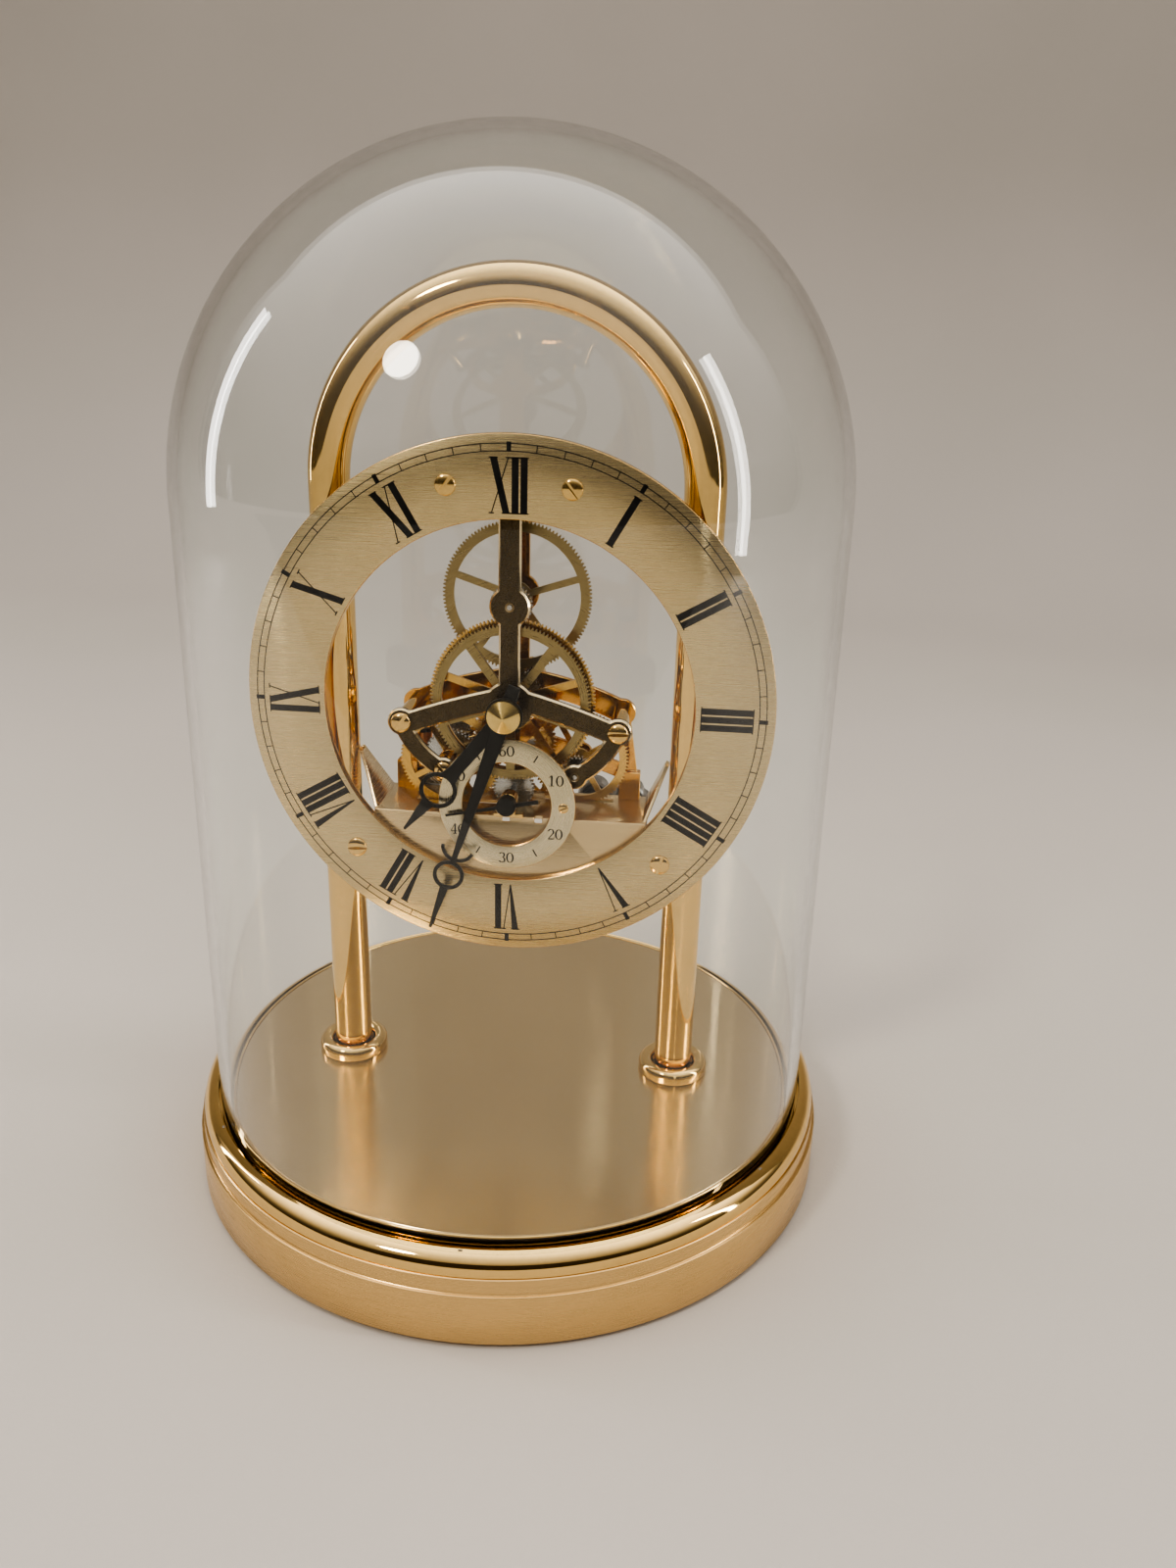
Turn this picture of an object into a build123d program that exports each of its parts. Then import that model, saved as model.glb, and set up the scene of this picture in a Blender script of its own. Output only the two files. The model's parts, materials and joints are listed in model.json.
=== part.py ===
from build123d import *
import os
from math import acos, asin, atan2, cos, hypot, pi, radians, sin, tan

# Anniversary clock: a skeleton quartz movement and a ring dial on an arched tube, on a round
# brass base, under a glass dome. Millimetres, +Z up, +X to the viewer's right, dial facing -Y,
# origin at the centre of the underside. All wheels turn on axes along Y.

# ---- driving dimensions: base ----
BASE_R = 77.5
DRUM_TOP = 13.3
BAND_R = 76.8
BAND_TOP = 17.0
RIM_R = 76.4
RIM_TOP = 21.6
GROOVE_FLOOR = 18.4
DECK_R = 69.0
DECK_TOP = 22.4
DECK_THICK = 1.4
SHELL_WALL = 2.0
FEET_HEIGHT = 1.0
UNDERPLATE_TOP = 3.4

# ---- driving dimensions: dome ----
DOME_R = 72.4
DOME_WALL = 2.1
DOME_TOP = 235.0
DOME_SHOULDER = DOME_TOP - DOME_R
DOME_FOOT = 18.7

# ---- driving dimensions: arch ----
TUBE_R = 4.6
TUBE_BORE_R = 3.7
ARCH_R = 41.0
ARCH_Z = 164.0
TUBE_Y = -2.6
TUBE_FOOT = 14.0

# ---- driving dimensions: dials, as planes along Y (front is the lower value) ----
DIAL_Z = 117.3
DIAL_R = 59.0
DIAL_HOLE_R = 41.4
DIAL_Y = (-12.0, -10.0)
SECONDS_Z = 94.95
SECONDS_DIAL_R = 15.7
SECONDS_HOLE_R = 10.2
SECONDS_DIAL_Y = (-13.0, -12.2)
DIAL_SCREWS_TOP = (13.4, 165.4)
DIAL_SCREWS_LOW = (35.3, 82.0)

# ---- driving dimensions: movement plates ----
BRIDGE_Y = (-10.0, -8.5)
TRAIN_BRIDGE_Y = (-3.1, -2.2)
REAR_PLATE_Y = (6.0, 7.5)
MOTOR_BRIDGE_Y = (12.6, 13.6)
PILLAR = (24.6, 112.4)
TOP_PILLAR = (0.0, 162.4)
SHELF_Z = (90.2, 91.0)
SHELF_Y = (-9.9, 7.9)
SHELF_X = 31.5
APRON_LOW = 67.0

# ---- driving dimensions: motor and circuit behind the rear plate ----
MOTOR_POSTS = ((-16.6, 109.6), (4.2, 105.6), (10.6, 94.0))
STATOR_Y = (9.2, 9.9)
STATOR_Z = (90.8, 108.6)
COIL_AXIS_X = -24.2
COVER_Y = (11.2, 17.0)
COVER_Z = (79.0, 89.6)

# ---- arbors: (x, z) ----
CENTRE = (0.0, DIAL_Z)
UPPER = (0.0, DIAL_Z + 22.4)
RIGHT = (15.05, 101.4)
LEFT = (-15.05, 101.4)
IDLER = (0.0, 105.85)
SECONDS = (0.0, SECONDS_Z)
FIFTH = (-8.18, 99.68)
ROTOR = (-16.58, 99.68)

# ---- wheel layers along Y ----
HOUR_WHEEL_Y = (-7.6, -6.7)
CENTRE_WHEEL_Y = (-4.9, -4.1)
LEFT_WHEEL_Y = (-1.5, -0.7)
IDLER_WHEEL_Y = (0.3, 1.1)
UPPER_WHEEL_Y = (1.7, 2.5)
RIGHT_WHEEL_Y = (3.4, 4.2)
SECONDS_WHEEL_Y = (8.8, 9.4)
FIFTH_WHEEL_Y = (10.4, 11.0)

# ---- hands ----
HOUR_ANGLE = 219.0
MINUTE_ANGLE = 198.3
SECOND_ANGLE = 258.0
HOUR_HAND_Y = (-15.3, -14.7)
MINUTE_HAND_Y = (-16.9, -16.3)
SECOND_HAND_Y = (-14.1, -13.8)
HAND_NUT_Y = (-20.0, -17.4)
KNOB_Y = (9.4, 15.4)

# ---- running and pivot sizes ----
RUNNING_GAP = 0.05
ARBOR_R = 1.1
PIVOT_R = 0.55
HOUR_PIPE_R = 1.9
SECONDS_ARBOR_R = 0.7
SECONDS_BEARING_Y = (-10.6, -8.0)

# ---- gear teeth ----
PRESSURE = radians(20)
ADDENDUM = 0.9
DEDENDUM = 1.2
TOOTH_THINNING = 0.05

parts = {}


def keep(name, *solids):
    """Files solids under the name of their node."""
    parts.setdefault(name, []).extend(solids)


# ---------------------------------------------------------------- shape helpers


def rod(at, radius, front, back):
    """A round bar along Y at (x, z)."""
    return Pos(at[0], (front + back) / 2, at[1]) * Rot(90, 0, 0) * Cylinder(radius, back - front)


def sleeve(at, radius, bore, front, back):
    return rod(at, radius, front, back) - rod(at, bore, front - 1, back + 1)


def post(at, radius, low, high):
    """A round bar along Z at (x, y)."""
    return Pos(at[0], at[1], (low + high) / 2) * Cylinder(radius, high - low)


def block(x, y, z):
    """A box from its limits on each axis."""
    return Pos(sum(x) / 2, sum(y) / 2, sum(z) / 2) * Box(x[1] - x[0], y[1] - y[0], z[1] - z[0])


def slab(sketch, layer):
    """A sketch drawn with (x, z) coordinates, made solid between two planes along Y."""
    front, back = layer
    return extrude(Plane.XZ.offset(-back) * sketch, amount=back - front)


def turned(*lines):
    """A solid of revolution about Z from lines drawn with (radius, z) coordinates."""
    return revolve(Plane.XZ * make_face(Curve() + list(lines)), axis=Axis.Z)


def ring_profile(points):
    """A solid of revolution about Z from a closed outline of (radius, z) points."""
    return revolve(Plane.XZ * make_face(Polyline(*points, close=True)), axis=Axis.Z)


def spot(at, radius):
    return Pos(*at) * Circle(radius)


def strip(start, middle, end, width):
    """A curved arm of even width through three points."""
    return trace(ThreePointArc(start, middle, end), line_width=width)


def bar(start, end, width):
    """A straight arm of even width."""
    return trace(Line(start, end), line_width=width)


def polar(at, radius, angle):
    return (at[0] + radius * cos(angle), at[1] + radius * sin(angle))


def prism(outline, holes, layer):
    """A flat-sided solid from closed (x, z) outlines, between two planes along Y."""
    front, back = layer
    rings = [Wire.make_polygon([(x, back, z) for x, z in ring], close=True) for ring in (outline, *holes)]
    return Solid.extrude(Face(rings[0], rings[1:]), Vector(0, front - back, 0))


def slotted_screw(at, head_r, shank_r, head, tip):
    """A screw along Y with a slotted domed head at its front: head is (front, back) of the head."""
    front, back = head
    dome = Pos(at[0], back, at[1]) * Rot(90, 0, 0) * Cone(head_r, head_r * 0.72, back - front, align=(
        Align.CENTER, Align.CENTER, Align.MIN))
    slot = Pos(at[0], front, at[1]) * Rot(0, 35, 0) * Box(head_r * 3, (back - front) * 0.9, head_r * 0.22)
    shank = rod(at, shank_r, back, tip) if tip > back else rod(at, shank_r, tip, back)
    return dome - slot + shank


def rear_screw(at, head_r, shank_r, head, tip):
    """A screw along Y whose slotted head faces the rear: head is (front, back) of the head."""
    front, back = head
    dome = Pos(at[0], front, at[1]) * Rot(-90, 0, 0) * Cone(head_r, head_r * 0.72, back - front, align=(
        Align.CENTER, Align.CENTER, Align.MIN))
    slot = Pos(at[0], back, at[1]) * Rot(0, 35, 0) * Box(head_r * 3, (back - front) * 0.9, head_r * 0.22)
    return dome - slot + rod(at, shank_r, tip, front)


# ---------------------------------------------------------------- gears


def mesh(pinion_at, wheel_at, pinion_teeth, wheel_teeth):
    """Module and tooth phases of a pair in mesh: a pinion tooth points at a gap of the wheel."""
    dx, dz = wheel_at[0] - pinion_at[0], wheel_at[1] - pinion_at[1]
    module = 2 * hypot(dx, dz) / (pinion_teeth + wheel_teeth)
    towards = atan2(dz, dx)
    return module, towards, towards + pi + pi / wheel_teeth


def gear_outline(at, teeth, module, phase):
    """Closed outline of an involute gear, with flat facets between a few points of each flank."""
    pitch_r = module * teeth / 2
    base_r = pitch_r * cos(PRESSURE)
    root_r = pitch_r - DEDENDUM * module
    tip_r = pitch_r + ADDENDUM * module
    half_tooth = pi / (2 * teeth) - TOOTH_THINNING / (2 * pitch_r)
    involute_at_pitch = tan(PRESSURE) - PRESSURE

    def half_angle(radius):
        roll = acos(min(1.0, base_r / radius))
        return half_tooth + involute_at_pitch - (tan(roll) - roll)

    radii = [root_r] + ([base_r] if base_r > root_r else []) + [pitch_r, tip_r]
    flank = [(r, half_angle(max(r, base_r))) for r in radii]
    outline = []
    for tooth in range(teeth):
        middle = phase + 2 * pi * tooth / teeth
        outline += [polar(at, r, middle - a) for r, a in flank]
        outline += [polar(at, r, middle + a) for r, a in reversed(flank)]
    return outline


def bore_outline(at, radius, sides=20):
    """A polygon that just clears a round arbor."""
    corner_r = (radius + 0.01) / cos(pi / sides)
    return [polar(at, corner_r, 2 * pi * side / sides) for side in range(sides)]


def window_outline(at, inner_r, outer_r, spoke_width, first, second):
    """The opening between the spokes at two angles."""
    outline = []
    for radius, steps in ((outer_r, 14), (inner_r, 6)):
        margin = asin(spoke_width / 2 / radius)
        low, high = first + margin, second - margin
        arc = [polar(at, radius, low + (high - low) * step / steps) for step in range(steps + 1)]
        outline += arc if radius == outer_r else arc[::-1]
    return outline


def wheel(at, teeth, module, phase, layer, bore, rim_r, hub_r, spoke_width, spokes, first_spoke):
    """A toothed wheel with spokes; first_spoke is in degrees."""
    step = 2 * pi / spokes
    start = radians(first_spoke)
    windows = [
        window_outline(at, hub_r, rim_r, spoke_width, start + k * step, start + (k + 1) * step)
        for k in range(spokes)
    ]
    return prism(gear_outline(at, teeth, module, phase), [bore_outline(at, bore)] + windows, layer)


def pinion(at, teeth, module, phase, layer, bore):
    return prism(gear_outline(at, teeth, module, phase), [bore_outline(at, bore)], layer)


def beside(layer, overhang=0.3):
    """The layer of a pinion that meshes with a wheel, a little wider than the wheel."""
    return (layer[0] - overhang, layer[1] + overhang)


def arbor(at, front, back, radius, bosses=()):
    """A turned arbor with a thin pivot at each end and any bosses: (radius, front, back)."""
    pivot_length = 1.6
    body = rod(at, radius, front + pivot_length, back - pivot_length)
    body += rod(at, PIVOT_R, front, back)
    for boss_r, boss_front, boss_back in bosses:
        body += rod(at, boss_r, boss_front, boss_back)
    return body


# ---------------------------------------------------------------- base


def make_base():
    inner_r = BASE_R - SHELL_WALL
    drum = [
        (inner_r, FEET_HEIGHT),
        (BASE_R - 0.4, FEET_HEIGHT),
        (BASE_R, FEET_HEIGHT + 0.4),
        (BASE_R, DRUM_TOP - 0.25),
        (BASE_R - 0.25, DRUM_TOP),
        (BAND_R, DRUM_TOP + 0.15),
        (BAND_R, BAND_TOP),
        (66.0, BAND_TOP),
        (66.0, BAND_TOP - SHELL_WALL),
        (inner_r, BAND_TOP - SHELL_WALL),
    ]
    keep("base_drum", ring_profile(drum))

    # polished rim ring: a convex shoulder outside, the dome's groove, and an inner bead
    groove_out = DOME_R + 0.5
    groove_in = DOME_R - DOME_WALL - 0.5
    shoulder = turned(
        Line((DECK_R + 0.1, BAND_TOP), (RIM_R, BAND_TOP)),
        Line((RIM_R, BAND_TOP), (RIM_R, BAND_TOP + 0.8)),
        ThreePointArc((RIM_R, BAND_TOP + 0.8), (75.45, 20.1), (groove_out + 0.5, RIM_TOP)),
        Line((groove_out + 0.5, RIM_TOP), (groove_out, RIM_TOP - 0.3)),
        Line((groove_out, RIM_TOP - 0.3), (groove_out, GROOVE_FLOOR)),
        Line((groove_out, GROOVE_FLOOR), (groove_in, GROOVE_FLOOR)),
        Line((groove_in, GROOVE_FLOOR), (groove_in, DECK_TOP - 0.1)),
        ThreePointArc((groove_in, DECK_TOP - 0.1), (69.45, DECK_TOP + 0.35), (DECK_R + 0.1, DECK_TOP - 0.1)),
        Line((DECK_R + 0.1, DECK_TOP - 0.1), (DECK_R + 0.1, BAND_TOP)),
    )
    # small cushions across the rim hold the glass still
    pads = []
    for angle in (33, 90, 147, -33, -90, -147):
        notch = Rot(0, 0, angle) * block((groove_out - 0.3, groove_out + 0.9), (-0.5, 0.5), (GROOVE_FLOOR, 23))
        shoulder -= notch
        pad = block((groove_out + 0.15, groove_out + 0.88), (-0.45, 0.45), (GROOVE_FLOOR + 0.05, RIM_TOP - 0.1))
        pads.append(Rot(0, 0, angle) * pad)
    keep("base_rim", shoulder)
    keep("dome_pads", *pads)

    deck = Pos(0, 0, DECK_TOP - DECK_THICK / 2) * Cylinder(DECK_R, DECK_THICK)
    for side in (-1, 1):
        deck -= post((side * ARCH_R, TUBE_Y), TUBE_R + 0.02, 0, DECK_TOP + 1)
    keep("base_deck", deck)


def make_underside():
    """Moulded underplate with the battery box, its door, the cell, its contacts and the feet."""
    plate_r = BASE_R - SHELL_WALL - 0.2
    box_x, box_y = (-31.0, 31.0), (-10.5, 10.5)
    wall = 1.6
    cell_axis = 10.6
    plate = Pos(0, 0, (1.4 + UNDERPLATE_TOP) / 2) * Cylinder(plate_r, UNDERPLATE_TOP - 1.4)
    plate += Pos(0, 0, (UNDERPLATE_TOP + 6.0) / 2) * (Cylinder(plate_r, 2.6) - Cylinder(plate_r - 2, 2.6))
    outer = block((box_x[0] - wall, box_x[1] + wall), (box_y[0] - wall, box_y[1] + wall), (1.4, 20.0))
    plate += outer
    plate -= block(box_x, box_y, (0, 18.4))
    # recess that the door lies in, with its finger scoop and hinge sockets
    plate -= block((-33.5, 33.5), (-12.0, 13.0), (0, 2.9))
    plate -= Pos(0, -13.0, 1.4) * Rot(0, 90, 0) * Cylinder(1.5, 12)
    hinge_y, hinge_z = 11.4, 2.2
    for side in (-1, 1):
        plate -= Pos(side * 34.2, hinge_y, hinge_z) * Rot(0, 90, 0) * Cylinder(0.6, 2.4)
    # lead notch and sockets for the contacts
    for side in (-1, 1):
        plate -= block(sorted((side * 31.0, side * 31.5)), (-5.0, 5.0), (4.0, 17.0))
    for angle in (45, 135, 225, 315):
        x, y = polar((0, 0), 62.0, radians(angle))
        plate -= post((x, y), 6.3, 0.5, 2.0)
        keep("rubber_feet", post((x, y), 6.2, 0.0, 2.0))
    keep("underplate", plate)

    door = block((-33.2, 33.2), (-11.7, 10.4), (1.5, 2.7))
    door += Pos(0, hinge_y, hinge_z) * Rot(0, 90, 0) * Cylinder(0.5, 70.0)
    door += Pos(0, hinge_y - 0.6, hinge_z - 0.1) * Box(66.0, 1.6, 0.8)
    for row in range(3):
        door -= block((-6, 6), (-9.5 + row * 1.6, -8.9 + row * 1.6), (1.0, 1.8))
    keep("battery_door", door)

    can = Pos(-1.0, 0, cell_axis) * Rot(0, 90, 0) * Cylinder(7.1, 49.0)
    tip = Pos(24.1, 0, cell_axis) * Rot(0, 90, 0) * Cylinder(2.7, 1.4)
    keep("battery_cell", can + tip)
    spring = Pos(-28.3, 0, cell_axis) * Rot(0, 90, 0) * Cone(4.2, 2.0, 4.6)
    spring -= Pos(-28.3, 0, cell_axis) * Rot(0, 90, 0) * Cone(3.4, 1.2, 4.8)
    spring += block((-31.3, -30.6), (-4.5, 4.5), (5.0, 16.0))
    strip_plate = block((30.7, 31.4), (-4.5, 4.5), (5.0, 16.0))
    strip_plate += Pos(28.1, 0, cell_axis) * Rot(0, 90, 0) * Cylinder(2.4, 5.4)
    keep("battery_contacts", spring, strip_plate)


# ---------------------------------------------------------------- dome and arch


def dome_body(radius, foot):
    """A solid cylinder with a round crown, down to its foot."""
    return turned(
        Line((0, foot), (radius, foot)),
        Line((radius, foot), (radius, DOME_SHOULDER)),
        CenterArc((0, DOME_SHOULDER), radius, 0, 90),
        Line((0, DOME_SHOULDER + radius), (0, foot)),
    )


def make_dome():
    glass = dome_body(DOME_R, DOME_FOOT) - dome_body(DOME_R - DOME_WALL, DOME_FOOT - 1)
    lip = glass.edges().filter_by(GeomType.CIRCLE).group_by(Axis.Z)[0]
    keep("glass_dome", fillet(lip, DOME_WALL * 0.4))


def make_arch():
    path = Polyline((-ARCH_R, TUBE_FOOT), (-ARCH_R, ARCH_Z))
    path += CenterArc((0, ARCH_Z), ARCH_R, 0, 180)
    path += Polyline((ARCH_R, ARCH_Z), (ARCH_R, TUBE_FOOT))
    route = Pos(0, TUBE_Y, 0) * (Plane.XZ * path)
    section = Plane((-ARCH_R, TUBE_Y, TUBE_FOOT), x_dir=(1, 0, 0), z_dir=(0, 0, 1)) * (
        Circle(TUBE_R) - Circle(TUBE_BORE_R)
    )
    tube = sweep(section, path=route)
    keep("arch_tube", tube)

    for side in (-1, 1):
        at = (side * ARCH_R, TUBE_Y)
        collar = Pos(at[0], at[1], 0) * turned(
            Line((TUBE_R + 0.3, DECK_TOP), (8.5, DECK_TOP)),
            Line((8.5, DECK_TOP), (8.5, DECK_TOP + 1.3)),
            ThreePointArc((8.5, DECK_TOP + 1.3), (7.9, DECK_TOP + 2.75), (6.6, DECK_TOP + 3.4)),
            Line((6.6, DECK_TOP + 3.4), (5.6, DECK_TOP + 3.4)),
            ThreePointArc((5.6, DECK_TOP + 3.4), (5.2, DECK_TOP + 3.2), (5.1, DECK_TOP + 2.8)),
            Line((5.1, DECK_TOP + 2.8), (TUBE_R + 0.3, DECK_TOP + 2.5)),
            Line((TUBE_R + 0.3, DECK_TOP + 2.5), (TUBE_R + 0.3, DECK_TOP)),
        )
        keep("tube_collars", collar)
        under_deck = DECK_TOP - DECK_THICK
        washer = Pos(*at, under_deck - 0.6) * (Cylinder(7.6, 1.2) - Cylinder(TUBE_R + 0.05, 2))
        keep("tube_nuts", washer)
        hexagon = RegularPolygon(7.2, 6) - Circle(TUBE_R + 0.02)
        keep("tube_nuts", Pos(*at, under_deck - 5.2) * extrude(hexagon, amount=3.9))


# ---------------------------------------------------------------- dial


def make_dial():
    ring = slab(spot(CENTRE, DIAL_R) - spot(CENTRE, DIAL_HOLE_R), DIAL_Y)
    screws = []
    brackets = []
    for side in (-1, 1):
        for x, z in (DIAL_SCREWS_TOP, DIAL_SCREWS_LOW):
            at = (side * x, z)
            ring -= rod(at, 1.05, DIAL_Y[0] - 1, DIAL_Y[1] + 1)
            screws.append(slotted_screw(at, 2.25, 1.0, (DIAL_Y[0] - 0.9, DIAL_Y[0]), BRIDGE_Y[1] + 0.3))
        low_x, low_z = DIAL_SCREWS_LOW
        tab_layer = (DIAL_Y[1], DIAL_Y[1] + 1.5)
        tab = slab(
            spot((side * low_x, low_z), 3.2) + bar((side * low_x, low_z), (side * ARCH_R, low_z), 6.4), tab_layer
        )
        saddle = block(sorted((side * (ARCH_R - 3.4), side * (ARCH_R + 3.4))), (tab_layer[0], TUBE_Y), (78.8, 85.2))
        bracket = tab + saddle - post((side * ARCH_R, TUBE_Y), TUBE_R + 0.01, 70, 90)
        bracket -= rod((side * low_x, low_z), 1.05, tab_layer[0] - 1, tab_layer[1] + 1)
        brackets.append(bracket)
    keep("dial_ring", ring)
    keep("dial_screws", *screws)
    keep("dial_brackets", *brackets)


def make_seconds_dial():
    ring = slab(spot(SECONDS, SECONDS_DIAL_R) - spot(SECONDS, SECONDS_HOLE_R), SECONDS_DIAL_Y)
    brackets = []
    middle_r = (SECONDS_DIAL_R + SECONDS_HOLE_R) / 2
    for side in (-1, 1):
        at = (side * middle_r, SECONDS_Z)
        foot = block(
            sorted((side * (middle_r - 2.0), side * (middle_r + 2.0))), (SHELF_Y[0] + 0.4, -7.0), (SHELF_Z[1], 93.0)
        )
        upright = block(
            sorted((side * (middle_r - 2.0), side * (middle_r + 2.0))), (SECONDS_DIAL_Y[1], -11.2), (92.0, 97.0)
        )
        lug = block(sorted((side * (middle_r - 2.0), side * (middle_r + 2.0))), (-11.3, -9.0), (92.0, 93.4))
        bracket = foot + upright + lug
        if side > 0:
            ring -= rod(at, 0.65, SECONDS_DIAL_Y[0] - 1, SECONDS_DIAL_Y[1] + 1)
            bracket -= rod(at, 0.65, SECONDS_DIAL_Y[1] - 1, -11.0)
            head = (SECONDS_DIAL_Y[0] - 0.45, SECONDS_DIAL_Y[0])
            keep("dial_screws", slotted_screw(at, 1.15, 0.6, head, -11.4))
        brackets.append(bracket)
    keep("seconds_dial", ring)
    keep("seconds_dial_brackets", *brackets)


# ---------------------------------------------------------------- fixed movement parts


def make_shelf():
    """Bent sheet across the arch: polished shelf, satin apron below its front, and a wing at each end."""
    thick = SHELF_Z[1] - SHELF_Z[0]
    plate = block((-SHELF_X, SHELF_X), SHELF_Y, SHELF_Z)
    plate += block((-SHELF_X, SHELF_X), (SHELF_Y[0], SHELF_Y[0] + thick), (APRON_LOW, SHELF_Z[1]))
    # castellated front edge under the seconds dial
    for x in (-14.2, -0.6, 6.9, 11.8):
        plate -= block((x - 0.9, x + 0.9), (SHELF_Y[0] - 1, SHELF_Y[0] + 1.4), (SHELF_Z[0] - 0.7, 95))
    # clearance slots for the two low wheels and the seconds pinion
    for x, layer in (((LEFT[0] - 8.2, 5.9), LEFT_WHEEL_Y), ((RIGHT[0] - 8.2, RIGHT[0] + 8.2), RIGHT_WHEEL_Y)):
        plate -= block(x, (layer[0] - 0.6, layer[1] + 0.6), (85, 95))
    # openings for the screws that hold the rear plate's feet
    for side in (-1, 1):
        plate -= post((side * 27.0, 6.3), 1.05, 85, 95)
        low, high = SHELF_Z[1], 103.5
        apex_x = ARCH_R - TUBE_R - 0.05
        corners = [
            (side * SHELF_X, SHELF_Y[0] + 1.0, low - thick),
            (side * SHELF_X, SHELF_Y[1], low - thick),
            (side * apex_x, TUBE_Y + 1.2, high),
            (side * apex_x, TUBE_Y - 1.2, high),
        ]
        wing = Face(Wire.make_polygon(corners, close=True))
        outward = Vector(side * (high - low), 0, -(apex_x - SHELF_X)).normalized()
        plate += Solid.extrude(wing, outward * -0.8)
    keep("movement_shelf", plate)
    screws = []
    for side in (-1, 1):
        at = (side * 27.0, 6.3)
        screws.append(post(at, 1.9, SHELF_Z[0] - 1.2, SHELF_Z[0]) + post(at, 1.0, SHELF_Z[0], 95.0))
    keep("plate_screws", *screws)


def make_front_bridge():
    """Dark bronze skeleton bridge that carries the dial's top and the front pivots."""
    px, pz = PILLAR
    fx, fz = RIGHT
    tx, tz = DIAL_SCREWS_TOP
    plan = spot(CENTRE, 5.7) + spot(UPPER, 4.5)
    plan += bar(CENTRE, UPPER, 4.7) + bar(UPPER, (0, tz), 5.0)
    plan += Pos(0, 162.2) * Rectangle(9.0, 5.0)
    plan += Pos(0, tz) * RectangleRounded(2 * tx + 7, 7, 3.0)
    for side in (-1, 1):
        plan += strip((side * 3.0, 118.7), (side * 14.9, 115.2), (side * px, pz - 0.8), 4.9)
        plan += strip((side * px, pz), (side * 20.9, 106.0), (side * fx, fz), 4.1)
        plan += spot((side * px, pz), 3.2) + spot((side * fx, fz), 2.9)
    bridge = slab(plan, BRIDGE_Y)
    through = (BRIDGE_Y[0] - 1, BRIDGE_Y[1] + 1)
    bridge -= rod(CENTRE, HOUR_PIPE_R + RUNNING_GAP, *through)
    for at in (UPPER, RIGHT):
        bridge -= rod(at, PIVOT_R + RUNNING_GAP, *through)
    bridge -= rod(LEFT, 1.05, *through)
    bridge -= rod(TOP_PILLAR, 1.05, *through)
    for side in (-1, 1):
        bridge -= rod((side * px, pz), 1.05, *through)
        bridge -= rod((side * tx, tz), 1.05, *through)
    keep("front_bridge", bridge)


def make_pillars():
    px, pz = PILLAR
    for at in ((-px, pz), (px, pz)):
        keep("bridge_pillars", sleeve(at, 2.0, 1.02, BRIDGE_Y[1], REAR_PLATE_Y[0]))
        keep("bridge_screws", slotted_screw(at, 2.3, 1.0, (BRIDGE_Y[0] - 1.4, BRIDGE_Y[0]), BRIDGE_Y[1] + 4))
    # the top pillar is riveted to the bridge behind the dial
    top = rod(TOP_PILLAR, 2.0, BRIDGE_Y[1], REAR_PLATE_Y[0]) + rod(TOP_PILLAR, 1.04, BRIDGE_Y[0] + 0.1, BRIDGE_Y[1])
    keep("bridge_pillars", top - rod(TOP_PILLAR, 1.02, 2.0, REAR_PLATE_Y[0] + 1))
    for at in ((-px, pz), (px, pz), TOP_PILLAR):
        keep("bridge_screws", rear_screw(at, 2.3, 1.0, (REAR_PLATE_Y[1], REAR_PLATE_Y[1] + 1.2), 3.0))
    keep("plate_posts", sleeve(LEFT, 1.6, 1.02, BRIDGE_Y[1], TRAIN_BRIDGE_Y[0]))
    keep("bridge_screws", slotted_screw(LEFT, 2.1, 1.0, (BRIDGE_Y[0] - 0.9, BRIDGE_Y[0]), BRIDGE_Y[1] + 3.5))


def make_train_bridge():
    """Inner bridge that carries the front pivots of the left and idler arbors."""
    stand = (7.6, 113.9)
    plan = spot(LEFT, 2.6) + spot(IDLER, 3.0) + bar(LEFT, IDLER, 3.4)
    for side in (-1, 1):
        at = (side * stand[0], stand[1])
        plan += spot(at, 1.9) + bar(IDLER, at, 3.0)
    bridge = slab(plan, TRAIN_BRIDGE_Y)
    through = (TRAIN_BRIDGE_Y[0] - 1, TRAIN_BRIDGE_Y[1] + 1)
    for at in (LEFT, IDLER):
        bridge -= rod(at, PIVOT_R + RUNNING_GAP, *through)
    for side in (-1, 1):
        at = (side * stand[0], stand[1])
        bridge -= rod(at, 0.62, *through)
        keep("plate_posts", rod(at, 1.0, TRAIN_BRIDGE_Y[1], REAR_PLATE_Y[0]))
        head = (TRAIN_BRIDGE_Y[0] - 0.5, TRAIN_BRIDGE_Y[0])
        keep("plate_screws", slotted_screw(at, 1.2, 0.6, head, TRAIN_BRIDGE_Y[1]))
    keep("train_bridge", bridge)


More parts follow.
